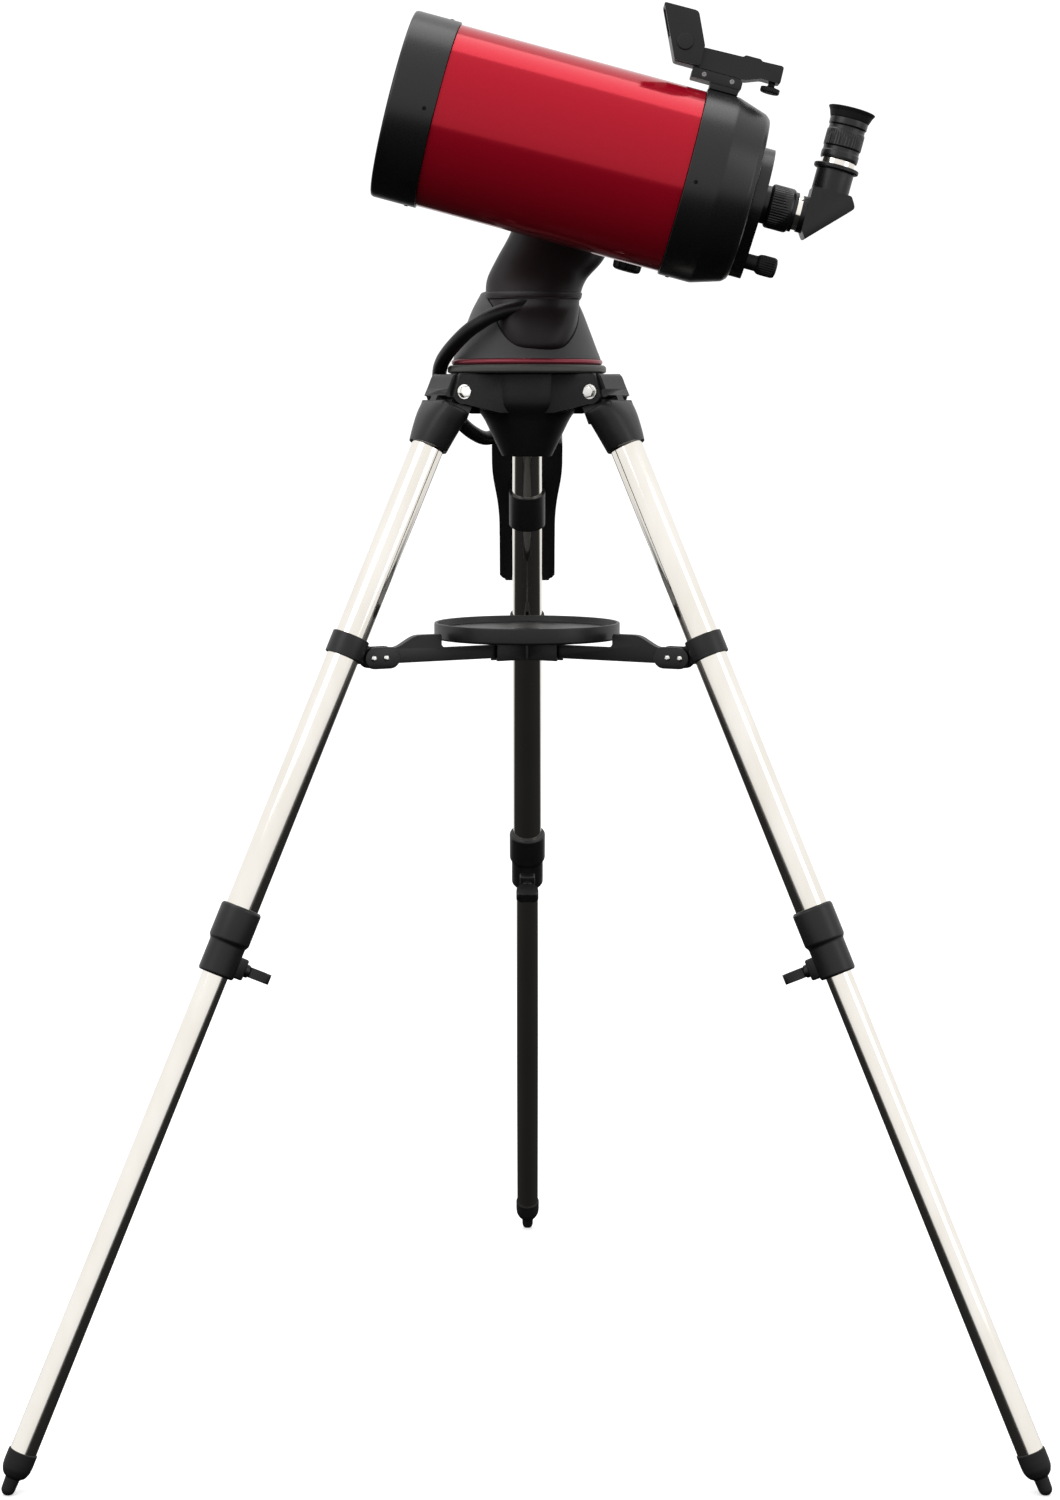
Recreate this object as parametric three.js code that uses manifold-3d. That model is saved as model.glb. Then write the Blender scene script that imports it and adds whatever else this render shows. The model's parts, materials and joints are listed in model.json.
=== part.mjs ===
// A computerised alt-azimuth telescope on a three-legged field tripod.
// Units are millimetres with +Z up. The tube's eyepiece end points along +X, the tube hangs on
// the -Y side of a single arm, and the third leg points along +Y. The origin is on the floor,
// in the middle of the footprint.

import * as THREE from "three";
import { mergeVertices } from "three/addons/utils/BufferGeometryUtils.js";
import Module from "manifold-3d";

const wasm = await Module();
wasm.setup();

const DEGREE = Math.PI / 180;

// ---------------------------------------------------------------- driving dimensions

const GAP = 0.3; // assembly clearance between neighbours

// tripod
const SPLAY = 24.9 * DEGREE; // leg to vertical
const HIP_RADIUS = 87; // leg pivot from the centre axis
const LEG_LENGTH = 1130; // leg pivot to foot tip
const FOOT_TIP_RADIUS = 6.5;
const FOOT_FLAT_DEPTH = 1.5; // ground off the round tip where it stands on the floor
const FOOT_TIP_HEIGHT = FOOT_TIP_RADIUS - FOOT_FLAT_DEPTH; // tip's centre above the floor
const HIP_HEIGHT = (LEG_LENGTH - FOOT_TIP_RADIUS) * Math.cos(SPLAY) + FOOT_TIP_HEIGHT;
const UPPER_TUBE_RADIUS = 31.75 / 2;
const LOWER_TUBE_RADIUS = 25.4 / 2;
const TUBE_WALL = 2.5;
const CLAMP_TOP = 540; // pivot to the leg clamp's top
const CLAMP_LENGTH = 68.5;
const LEGS = { left: 210 * DEGREE, right: 330 * DEGREE, rear: 90 * DEGREE };

// spreader
const BAND_DISTANCE = 270; // pivot to the spreader band, along the leg
const BAND_PIVOT = BAND_DISTANCE - 0.5; // leg pivot to the spreader arm's pivot, along the leg
const BAND_LUG_REACH = 28.8; // leg axis to the spreader arm's pivot
const ARM_INNER_RADIUS = 30; // centre axis to the arms' inner ends
const TRAY_RADIUS = 93;
const TRAY_HEIGHT = 16;

// mount
const HEAD_TOP = 1041.8;
const FLANGE_RADIUS = 78.5;
const FLANGE_TOP = HEAD_TOP + 8.6;
const SHELL_BOTTOM = FLANGE_TOP + 5.8;
const GEAR_MODULE = 1.5;
const GEAR_TEETH = 36;
const PINION_TEETH = 12;
const GEAR_CENTRES = (GEAR_MODULE * (GEAR_TEETH + PINION_TEETH)) / 2 + 0.3;

// optical tube; stations are measured back from the front rim along the tube's axis
const TILT = 14.9 * DEGREE; // front end up
const TUBE_RADIUS = 84;
const FRONT_CELL_RADIUS = 86;
const REAR_CELL_RADIUS = 86.5;
const FRONT_CELL_END = 42.5;
const REAR_CELL_START = 275;
const REAR_FACE = 339.4;
const BACK_PLATE = REAR_FACE + 10.6;
const PIVOT_STATION = 172; // altitude axis crosses the tube's axis here
const PIVOT = new THREE.Vector3(44, -165, 1241.6);
const BAFFLE_RADIUS = 19;
const LIGHT_PATH_RADIUS = 16.5;
const BAFFLE_FRONT = 120;
const FOCUSER_DROP = 54; // focus knob below the tube's axis
const BARREL_RADIUS = 31.75 / 2;
const DIAGONAL_STATION = 409; // eyepiece axis crosses the tube's axis here

// ---------------------------------------------------------------- materials

function finish(color, roughness, metalness) {
  return new THREE.MeshStandardMaterial({ color, roughness, metalness });
}

const RED_PAINT = finish(0xb4182c, 0.25, 0.3);
const BLACK_METAL = finish(0x242424, 0.45, 0.4);
const BLACK_PLASTIC = finish(0x1d1d1e, 0.5, 0);
const GREY_PLASTIC = finish(0x343434, 0.5, 0);
const ARM_PLASTIC = finish(0x1c1516, 0.5, 0);
const STEEL = finish(0xc9c6c0, 0.15, 1);
const RUBBER = finish(0x171717, 0.8, 0);
const GLASS = finish(0xbfd6d2, 0.05, 0);
const MIRROR = finish(0xdfe4e6, 0.03, 1);
const NYLON = finish(0xd8d4c4, 0.5, 0);
const BOARD_GREEN = finish(0x1f5b38, 0.6, 0);

// ---------------------------------------------------------------- shape helpers

// Positions only, shared vertices merged, and no triangle without area.
function cleaned(geometry) {
  const bare = geometry.clone();
  bare.deleteAttribute("normal");
  bare.deleteAttribute("uv");
  const merged = mergeVertices(bare, 1e-4);
  const kept = [];
  const index = merged.index.array;
  for (let i = 0; i < index.length; i += 3) {
    const [a, b, c] = [index[i], index[i + 1], index[i + 2]];
    if (a !== b && b !== c && c !== a) kept.push(a, b, c);
  }
  merged.setIndex(kept);
  return merged;
}

function solidOf(geometry) {
  const merged = cleaned(geometry);
  const vertProperties = new Float32Array(merged.attributes.position.array);
  const triVerts = new Uint32Array(merged.index.array);
  const solid = new wasm.Manifold(new wasm.Mesh({ numProp: 3, vertProperties, triVerts }));
  if (solid.volume() >= 0) return solid;
  for (let i = 0; i < triVerts.length; i += 3) {
    [triVerts[i + 1], triVerts[i + 2]] = [triVerts[i + 2], triVerts[i + 1]];
  }
  return new wasm.Manifold(new wasm.Mesh({ numProp: 3, vertProperties, triVerts }));
}

function geometryOf(solid) {
  const mesh = solid.getMesh();
  const positions = new Float32Array(mesh.numVert * 3);
  for (let i = 0; i < mesh.numVert; i++) {
    const start = i * mesh.numProp;
    positions.set(mesh.vertProperties.subarray(start, start + 3), i * 3);
  }
  const geometry = new THREE.BufferGeometry();
  geometry.setAttribute("position", new THREE.BufferAttribute(positions, 3));
  geometry.setIndex(new THREE.BufferAttribute(new Uint32Array(mesh.triVerts), 1));
  return geometry;
}

function joined(...geometries) {
  return geometryOf(geometries.map(solidOf).reduce((all, next) => all.add(next)));
}

function carved(geometry, ...tools) {
  return geometryOf(tools.map(solidOf).reduce((left, tool) => left.subtract(tool), solidOf(geometry)));
}

function common(geometry, other) {
  return geometryOf(solidOf(geometry).intersect(solidOf(other)));
}

// A profile of [radius, height] points turned about the Z axis.
function turned(profile, segments = 24) {
  const points = profile.map(([radius, height]) => new THREE.Vector2(radius, height));
  return new THREE.LatheGeometry(points, segments).rotateX(Math.PI / 2);
}

// A closed ring section: the last point joins the first.
function turnedRing(profile, segments = 24) {
  return turned([...profile, profile[0]], segments);
}

function cylinder(radius, bottom, top, segments = 16) {
  return turned([[0, bottom], [radius, bottom], [radius, top], [0, top]], segments);
}

function box(low, high) {
  const size = high.map((value, i) => value - low[i]);
  const middle = high.map((value, i) => (value + low[i]) / 2);
  return new THREE.BoxGeometry(...size).translate(...middle);
}

// The two faces of something from near to far on one side, -1 or 1, of the middle plane.
function span(side, near, far) {
  return side > 0 ? [near, far] : [-far, -near];
}

function outline(points) {
  return new THREE.Shape(points.map(([x, y]) => new THREE.Vector2(x, y)));
}

// A shape drawn in X and Z, and as thick as width about Y = 0.
function plate(shape, width, curveSegments = 6) {
  const options = { depth: width, bevelEnabled: false, curveSegments };
  return new THREE.ExtrudeGeometry(shape, options).translate(0, 0, -width / 2).rotateX(Math.PI / 2);
}

// A shape drawn in X and Y, lifted from bottom to top.
function slab(shape, bottom, top, curveSegments = 6) {
  const options = { depth: top - bottom, bevelEnabled: false, curveSegments };
  return new THREE.ExtrudeGeometry(shape, options).translate(0, 0, bottom);
}

// A rounded section: a superellipse with half widths a and b about (x, y) at one height.
function section(x, y, z, a, b, squareness = 2.6, count = 24) {
  const power = 2 / squareness;
  return Array.from({ length: count }, (_, i) => {
    const angle = (2 * Math.PI * i) / count;
    const c = Math.cos(angle);
    const s = Math.sin(angle);
    const px = x + a * Math.sign(c) * Math.abs(c) ** power;
    const py = y + b * Math.sign(s) * Math.abs(s) ** power;
    return new THREE.Vector3(px, py, z);
  });
}

// A closed skin over a stack of sections that have the same number of points.
function loft(sections) {
  const count = sections[0].length;
  const corners = sections.flat();
  const index = [];
  for (let level = 0; level + 1 < sections.length; level++) {
    for (let i = 0; i < count; i++) {
      const a = level * count + i;
      const b = level * count + ((i + 1) % count);
      index.push(a, b, b + count, a, b + count, a + count);
    }
  }
  for (const [level, turn] of [[0, -1], [sections.length - 1, 1]]) {
    const centre = new THREE.Vector3();
    sections[level].forEach((point) => centre.addScaledVector(point, 1 / count));
    corners.push(centre);
    for (let i = 0; i < count; i++) {
      const a = level * count + i;
      const b = level * count + ((i + 1) % count);
      index.push(corners.length - 1, turn > 0 ? a : b, turn > 0 ? b : a);
    }
  }
  return new THREE.BufferGeometry().setFromPoints(corners).setIndex(index);
}

// A straight-flanked spur gear with wide backlash.
function gearShape(teeth, phase) {
  const pitchRadius = (GEAR_MODULE * teeth) / 2;
  const root = pitchRadius - 1.15 * GEAR_MODULE;
  const tip = pitchRadius + 0.75 * GEAR_MODULE;
  const step = (2 * Math.PI) / teeth;
  const corners = [[root, -0.27], [tip, -0.1], [tip, 0.1], [root, 0.27]];
  const points = [];
  for (let tooth = 0; tooth < teeth; tooth++) {
    for (const [radius, share] of corners) {
      const angle = phase + (tooth + share) * step;
      points.push([radius * Math.cos(angle), radius * Math.sin(angle)]);
    }
  }
  return outline(points);
}

function piece(name, parent, geometry, material) {
  const mesh = new THREE.Mesh(geometryOf(solidOf(geometry)), material);
  mesh.name = name;
  parent.add(mesh);
  return mesh;
}

// ---------------------------------------------------------------- tripod head

const LUG_INNER = 22.2; // lug faces from the leg's middle plane
const LUG_OUTER = 28.7;
const LUG_RADIUS = 12;
const BOLT_RADIUS = 4;
const HEAD_BOTTOM = 990; // the mount bolt's seat
const SKIRT_BOTTOM = 961; // a tapered skirt hides the bolt's knob
const CENTRE_HOLE = 6.5; // the mount bolt's way through the head
const BOLT_SHANK = 6;

// One leg's pair of lugs with the pivot bolt between them, drawn for a leg along +X.
function hipLugs() {
  const shape = new THREE.Shape();
  shape.moveTo(34, HEAD_TOP);
  shape.lineTo(34, HEAD_BOTTOM + 13);
  shape.lineTo(48, HEAD_BOTTOM + 13);
  shape.lineTo(HIP_RADIUS - 4, HIP_HEIGHT - LUG_RADIUS + 0.7);
  shape.absarc(HIP_RADIUS, HIP_HEIGHT, LUG_RADIUS, -110 * DEGREE, -25 * DEGREE, false);
  shape.lineTo(HIP_RADIUS + 3.4, HEAD_TOP);
  const thickness = LUG_OUTER - LUG_INNER;
  const middle = (LUG_OUTER + LUG_INNER) / 2;
  const lugs = [-middle, middle].map((y) => plate(shape, thickness, 8).translate(0, y, 0));
  const place = (geometry) => geometry.rotateX(Math.PI / 2).translate(HIP_RADIUS, 0, HIP_HEIGHT);
  const bolt = place(cylinder(BOLT_RADIUS, -LUG_OUTER - 1, LUG_OUTER + 1, 20));
  const heads = [-1, 1].map((side) => place(cylinder(6, ...span(side, LUG_OUTER - GAP, 32.4), 6)));
  return joined(...lugs, bolt, ...heads);
}

function tripodHead() {
  const bowl = turned([
    [0, HEAD_BOTTOM], [21, HEAD_BOTTOM], [21, SKIRT_BOTTOM], [24.5, SKIRT_BOTTOM], [38.5, HEAD_BOTTOM],
    [43.5, HEAD_BOTTOM + 10], [51, HEAD_BOTTOM + 19], [52.5, HEAD_BOTTOM + 28], [52.5, HEAD_TOP], [0, HEAD_TOP],
  ], 30);
  const lugs = Object.values(LEGS).map((angle) => hipLugs().rotateZ(angle));
  return carved(joined(bowl, ...lugs), cylinder(CENTRE_HOLE, HEAD_BOTTOM - 1, HEAD_TOP + 1));
}

function mountBolt() {
  const [bottom, seat, top] = [HEAD_BOTTOM - 18, HEAD_BOTTOM - GAP, FLANGE_TOP - 1];
  return turned([
    [0, bottom], [13, bottom], [15.5, bottom + 2.5], [15.5, bottom + 12], [13.5, bottom + 14],
    [9, bottom + 14], [9, seat], [BOLT_SHANK, seat], [BOLT_SHANK, top], [0, top],
  ], 20);
}

// The fixed plate under the turning base, with the azimuth gear on top of it.
function azimuthBasePlate() {
  const bottom = HEAD_TOP + GAP;
  const disc = turned([
    [0, bottom], [FLANGE_RADIUS - 1.5, bottom], [FLANGE_RADIUS, bottom + 1.5],
    [FLANGE_RADIUS, FLANGE_TOP - 2], [FLANGE_RADIUS - 2, FLANGE_TOP], [0, FLANGE_TOP],
  ], 40);
  const gear = slab(gearShape(GEAR_TEETH, 0), FLANGE_TOP - 0.5, FLANGE_TOP + 7);
  return carved(joined(disc, gear), cylinder(CENTRE_HOLE, bottom - 1, FLANGE_TOP + 8));
}

// ---------------------------------------------------------------- turning base and arm

// Outer radius of the bell-shaped base shell against height.
const SHELL_PROFILE = [
  [73, SHELL_BOTTOM], [71.5, 1059], [69, 1066], [62, 1085], [54, 1105],
  [49, 1114], [45, 1120], [38, 1123.5],
];
const SHELL_WALL = 3;

// The arm's sections: height, middle X, half width X, front Y, back Y.
const ARM_SECTIONS = [
  [1062, 8, 26, -64, 0], [1068, 8, 33, -70, 3], [1085, 8, 40, -68.5, 8], [1103, 8, 43, -62, 14],
  [1116, 7, 45, -50, 21], [1134, 9, 49.4, -38, 27.5], [1154, 22.7, 54, -31, 30.5],
  [1182, 35.5, 53.5, -24, 33], [1210, 41, 53, -22, 33], [PIVOT.z, PIVOT.x, 52, -22, 33],
];
const ARM_HEAD_RADIUS = 52;
const ARM_WALL = 3;
const SEAM_LEAN = Math.atan2(36, PIVOT.z - 1068); // the covers' seam leans forward going down
const SEAM_Y = 6; // the seam at the altitude axis
const SHAFT_BORE = 12;

// The arm's skin pulled in by an inset, which is negative for a clearance tool.
function armBody(inset) {
  const levels = ARM_SECTIONS.map(([z, x, a, front, back]) => {
    const height = z === ARM_SECTIONS[0][0] ? z + Math.min(inset, 0) : z;
    return section(x, (front + back) / 2, height, a - inset, (back - front) / 2 - inset);
  });
  const [, , , front, back] = ARM_SECTIONS.at(-1);
  const edge = ARM_HEAD_RADIUS - inset;
  const soft = 7;
  const head = turned([
    [0, front + inset], [edge - soft, front + inset], [edge - 2, front + inset + 2],
    [edge, front + inset + soft], [edge, back - inset - soft], [edge - 2, back - inset - 2],
    [edge - soft, back - inset], [0, back - inset],
  ], 40).rotateX(-Math.PI / 2).translate(PIVOT.x, 0, PIVOT.z);
  return joined(loft(levels), head);
}

// Everything in front of the plane where the arm's two covers meet, less half a seam.
function armSeamTool(front) {
  const reach = 400;
  const half = front ? [[-reach, -reach, -reach], [reach, -GAP / 2, reach]]
    : [[-reach, GAP / 2, -reach], [reach, reach, reach]];
  return box(...half).rotateX(-SEAM_LEAN).translate(0, SEAM_Y, PIVOT.z);
}

function armCovers() {
  const shell = carved(armBody(0), armBody(ARM_WALL), box([-60, -100, 1000], [100, 60, 1063]));
  const bore = cylinder(SHAFT_BORE, -40, 0, 32).rotateX(-Math.PI / 2).translate(PIVOT.x, 0, PIVOT.z);
  return {
    inner: carved(common(shell, armSeamTool(true)), bore),
    outer: common(shell, armSeamTool(false)),
  };
}

function baseShell() {
  const inner = SHELL_PROFILE.map(([radius, height]) => [radius - SHELL_WALL, height - 1.5]).reverse();
  const dome = turnedRing([
    ...SHELL_PROFILE, [0.001, 1123.5], [0.001, 1120.5], ...inner.slice(1, -1),
    [SHELL_PROFILE[0][0] - SHELL_WALL, SHELL_BOTTOM],
  ], 36);
  return carved(dome, armBody(-GAP - 0.2), cylinder(1, 1115, 1130, 6));
}

function trimRing() {
  const top = SHELL_BOTTOM - GAP;
  const bottom = FLANGE_TOP + GAP;
  return turnedRing([
    [67, bottom], [73.5, bottom], [74.8, bottom + 1.2], [74.8, top - 1.2], [73.5, top], [67, top],
  ], 40);
}

function azimuthTurntable() {
  const bottom = FLANGE_TOP + 0.8;
  return turnedRing([[48, bottom], [66, bottom], [66, bottom + 3.4], [48, bottom + 3.4]], 40);
}

const MOTOR_SHAFT_HOLE = 3.4;

function gearPinion() {
  return carved(
    joined(slab(gearShape(PINION_TEETH, Math.PI / PINION_TEETH), 0, 6.4), cylinder(3, 0, 8.6, 12)),
    cylinder(1.2, -1, 4, 8),
  );
}

function azimuthMotor() {
  const bottom = FLANGE_TOP + 9.6;
  const can = cylinder(14, bottom, bottom + 30).translate(0, GEAR_CENTRES, 0);
  const foot = box([-9, 49, FLANGE_TOP + 4.5], [9, 62, bottom + 3]);
  const bridge = box([-9, GEAR_CENTRES, bottom], [9, 58, bottom + 3]);
  const shaftHole = cylinder(MOTOR_SHAFT_HOLE, bottom - 1, bottom + 4, 12).translate(0, GEAR_CENTRES, 0);
  return carved(joined(can, foot, bridge), shaftHole);
}

// ---------------------------------------------------------------- optical tube assembly

// A profile of [radius, station] points turned about the tube's axis, in the tube's frame.
function coaxial(profile, segments = 36) {
  return turned(profile, segments).rotateY(Math.PI / 2).translate(-PIVOT_STATION, 0, 0);
}

function coaxialRing(profile, segments = 36) {
  return coaxial([...profile, profile[0]], segments);
}

function frontCell() {
  return coaxialRing([
    [79, 3], [81, 0], [84.5, 0], [FRONT_CELL_RADIUS, 1.5], [FRONT_CELL_RADIUS, FRONT_CELL_END],
    [79, FRONT_CELL_END],
  ]);
}

function mainTube() {
  const start = FRONT_CELL_END + GAP;
  const end = REAR_CELL_START - GAP;
  return coaxialRing([
    [TUBE_RADIUS - 1.8, start], [TUBE_RADIUS, start], [TUBE_RADIUS, end], [TUBE_RADIUS - 1.8, end],
  ]);
}

// The raised back plate: a disc about the light path that narrows to the focus knob's boss.
function backPlateShape() {
  const disc = 50;
  const boss = 20;
  const drop = 51;
  const lean = Math.acos((disc - boss) / drop);
  const shape = new THREE.Shape();
  shape.absarc(0, 0, disc, -Math.PI / 2 + lean, (3 * Math.PI) / 2 - lean, false);
  shape.absarc(0, -drop, boss, (3 * Math.PI) / 2 - lean, (3 * Math.PI) / 2 + lean, false);
  return shape;
}

function rearCell() {
  const cup = coaxialRing([
    [80, REAR_CELL_START], [REAR_CELL_RADIUS, REAR_CELL_START], [REAR_CELL_RADIUS, 307], [77, 334],
    [70, 338.2], [58, REAR_FACE], [LIGHT_PATH_RADIUS, REAR_FACE],
    [LIGHT_PATH_RADIUS, BAFFLE_FRONT], [BAFFLE_RADIUS, BAFFLE_FRONT], [BAFFLE_RADIUS, 329], [76, 329],
    [80, 307],
  ]);
  const raised = slab(backPlateShape(), REAR_FACE - 1, BACK_PLATE, 10)
    .rotateZ(Math.PI / 2).rotateY(Math.PI / 2).translate(-PIVOT_STATION, 0, 0);
  const bore = coaxial([[0, 325], [LIGHT_PATH_RADIUS, 325], [LIGHT_PATH_RADIUS, 360], [0, 360]], 48);
  const shaftHole = coaxial([[0, 320], [4, 320], [4, 360], [0, 360]], 16).translate(0, 0, -FOCUSER_DROP);
  return carved(joined(cup, raised), bore, shaftHole);
}

function correctorPlate() {
  return coaxialRing([[27.4, 9], [78.6, 9], [78.6, 13], [27.4, 13]]);
}

function secondaryHolder() {
  return coaxial([[0, 4], [30, 4], [30, 8.6], [27, 8.6], [27, 32], [0, 32]], 32);
}

function primaryMirror() {
  return coaxialRing([[BAFFLE_RADIUS + 1, 302], [75, 297], [75, 312], [BAFFLE_RADIUS + 1, 312]]);
}

function focusKnob() {
  return coaxial([
    [0, 325], [3.2, 325], [3.2, BACK_PLATE + GAP], [7, BACK_PLATE + GAP], [7, 361], [9, 363],
    [9.4, 366], [9.4, 377], [8, 379.5], [0, 379.5],
  ], 20).translate(0, 0, -FOCUSER_DROP);
}

function visualBack() {
  return coaxialRing([
    [BARREL_RADIUS + GAP, BACK_PLATE + GAP], [18, BACK_PLATE + GAP], [18, 357], [20.2, 358.5],
    [20.2, 378], [18.5, 379.8], [18, 383], [BARREL_RADIUS + GAP, 383],
  ], 32);
}

// The right-angle housing, its nosepiece, and the short barrel that takes the eyepiece.
function starDiagonal() {
  const barrel = 17.4;
  const left = DIAGONAL_STATION - barrel;
  const right = DIAGONAL_STATION + barrel;
  const side = outline([
    [left, 24], [left, -17], [left + 4, -22.4], [434.3, 16.7], [right + 1.5, 24],
  ]);
  const housing = plate(side, 2 * barrel).translate(-PIVOT_STATION, 0, 0);
  const nose = coaxial([[0, 362], [BARREL_RADIUS, 362], [BARREL_RADIUS, left + 1], [0, left + 1]], 32);
  const upright = turned([[0, 12], [barrel, 12], [barrel, 46], [21, 46], [21, 49.5], [0, 49.5]], 32)
    .translate(DIAGONAL_STATION - PIVOT_STATION, 0, 0);
  const socket = cylinder(BARREL_RADIUS + GAP, 22, 60, 32)
    .translate(DIAGONAL_STATION - PIVOT_STATION, 0, 0);
  const noseBore = coaxial([[0, 350], [13, 350], [13, left + 6], [0, left + 6]], 24);
  return carved(joined(housing, nose, upright), socket, noseBore);
}

function eyepiece() {
  return turned([
    [0, 24], [BARREL_RADIUS, 24], [BARREL_RADIUS, 54.5], [17.8, 54.5], [17.8, 91], [18.6, 94],
    [22, 102.4], [20.6, 102.6], [14, 95], [0, 95],
  ], 32).translate(DIAGONAL_STATION - PIVOT_STATION, 0, 0);
}

// ---------------------------------------------------------------- dovetail, saddle, clamp

const BAR_INNER = TUBE_RADIUS + 0.4;
const BAR_OUTER = 96;
const SADDLE_BACK = 110;
const HUB_BACK = 142.6; // 0.4 in front of the arm's face
const CLAMP_KNOB_X = 75.8; // behind the altitude axis
const CLAMP_KNOB_Y = 103;
const ALTITUDE_GEAR_Y = 151;

// A profile drawn in Y and Z, run along X.
function rail(points, start, end) {
  const options = { depth: end - start, bevelEnabled: false };
  const shape = outline(points.map(([y, z]) => [y, z]));
  return new THREE.ExtrudeGeometry(shape, options).rotateX(Math.PI / 2).rotateZ(Math.PI / 2)
    .translate(start, 0, 0);
}

function dovetailBar() {
  return rail([[BAR_INNER, -17], [BAR_OUTER, -21.5], [BAR_OUTER, 21.5], [BAR_INNER, 17]], -86, 100);
}

function altitudeSaddle() {
  const front = -42;
  const rear = 92;
  const back = box([front, BAR_OUTER + GAP, -30], [rear, SADDLE_BACK, 30]);
  const lips = [-1, 1].map((side) => {
    const [low, high] = span(side, 22.2, 30);
    return box([front, 87.5, low], [rear, BAR_OUTER + 1, high]);
  });
  const along = (geometry) => geometry.rotateX(-Math.PI / 2);
  const drum = along(cylinder(34, SADDLE_BACK - 1, HUB_BACK, 40));
  const shaft = along(cylinder(11, HUB_BACK - 1, 176, 28));
  const gear = along(slab(gearShape(GEAR_TEETH, Math.PI / 2 - TILT), ALTITUDE_GEAR_Y, ALTITUDE_GEAR_Y + 6));
  const screwHole = cylinder(4.4, -31, -24, 16).translate(CLAMP_KNOB_X, CLAMP_KNOB_Y, 0);
  return carved(joined(back, ...lips, drum, shaft, gear), screwHole);
}

function clampKnob() {
  return turned([
    [0, -85.6], [12, -85.6], [14, -83.5], [14, -66], [12, -62], [7, -60], [7, -30 - GAP],
    [3.8, -30 - GAP], [3.8, -25], [0, -25],
  ], 24).translate(CLAMP_KNOB_X, CLAMP_KNOB_Y, 0);
}

// ---------------------------------------------------------------- red-dot finder

const WINDOW_HEIGHT = 134; // the sight line above the tube's axis
const FINDER_KNOB_STATION = 331;

function finderBase() {
  const foot = box([277, -12, REAR_CELL_RADIUS + GAP], [303, 12, 93]);
  const block = box([257, -14, 92.5], [304.5, 14, 101]);
  return joined(foot, block).translate(-PIVOT_STATION, 0, 0);
}

// The sight's side view: a forward-leaning window hood on a flat bar.
function finderBody() {
  const hood = outline([[238, 102.3], [215.7, 150.2], [249.2, 150.3], [262.7, 121.3], [262, 102.3]]);
  const bar = outline([
    [238, 102.3], [234, 112], [262.7, 121.3], [300, 122], [306, 124], [316, 124], [318, 122.6],
    [337.8, 123.3], [338.2, 106.5], [320, 107], [306, 101.6 + GAP], [262, 101.6 + GAP],
  ]);
  const window = cylinder(12, 200, 270, 24).rotateY(Math.PI / 2).translate(0, 0, WINDOW_HEIGHT);
  const knobHole = cylinder(3.4, 100, 114, 12).translate(FINDER_KNOB_STATION, 0, 0);
  return carved(joined(plate(hood, 34), plate(bar, 22)), window, knobHole).translate(-PIVOT_STATION, 0, 0);
}

function finderLens() {
  return cylinder(11.6, 236, 238, 24).rotateY(Math.PI / 2).translate(-PIVOT_STATION, 0, WINDOW_HEIGHT);
}

function finderKnob() {
  return turned([[0, 97.6], [8, 97.6], [9, 98.6], [9, 102.6], [3, 103.4], [3, 112], [0, 112]], 16)
    .translate(FINDER_KNOB_STATION - PIVOT_STATION, 0, 0);
}

// ---------------------------------------------------------------- legs, drawn down the -Z axis

const BRACKET_SOCKET = -58; // its lower end, down the leg from the pivot
const TUBE_SEAT = -34; // the upper tube stops here inside the socket
const TUBE_IN_CLAMP = 38; // how far the upper tube reaches into the clamp
const CLAMP_SCREW = -CLAMP_TOP - CLAMP_LENGTH + 13.5;
const FOOT_SOCKET = -LEG_LENGTH + 34; // the lower tube stops here inside the foot

function legBracket() {
  const shape = new THREE.Shape();
  shape.moveTo(-19, -24);
  shape.lineTo(-17, 3);
  shape.quadraticCurveTo(-15, 15, -4, 16);
  shape.lineTo(8, 15.2);
  shape.lineTo(13, 13);
  shape.lineTo(14, 10);
  shape.lineTo(12.6, 1);
  shape.lineTo(12, -24);
  const tongue = plate(shape, 2 * (LUG_INNER - 0.4), 5);
  const socket = loft([
    section(0, 0, BRACKET_SOCKET, 17.8, 21.5, 2.3, 20), section(0, 0, -46, 18.5, 25, 2.4, 20),
    section(-0.4, 0, TUBE_SEAT, 19, 28.5, 2.5, 20), section(-2, 0, -26, 19, 32, 2.7, 20),
    section(-3.6, 0, -16.5, 17.8, 34.5, 3, 20),
  ]);
  const bore = cylinder(UPPER_TUBE_RADIUS + GAP, BRACKET_SOCKET - 1, TUBE_SEAT + GAP, 20);
  const pivot = cylinder(BOLT_RADIUS + 0.4, -40, 40, 20).rotateX(Math.PI / 2);
  const notches = [[6, 30], [-30, -6]].map(([near, far]) => box([5, near, -15], [20, far, -10]));
  return carved(joined(tongue, socket), bore, pivot, ...notches);
}

function upperTube() {
  const [outer, inner] = [UPPER_TUBE_RADIUS, UPPER_TUBE_RADIUS - TUBE_WALL];
  const [top, bottom] = [TUBE_SEAT, -CLAMP_TOP - TUBE_IN_CLAMP];
  return turnedRing([[inner, bottom], [outer, bottom], [outer, top], [inner, top]], 20);
}

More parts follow.
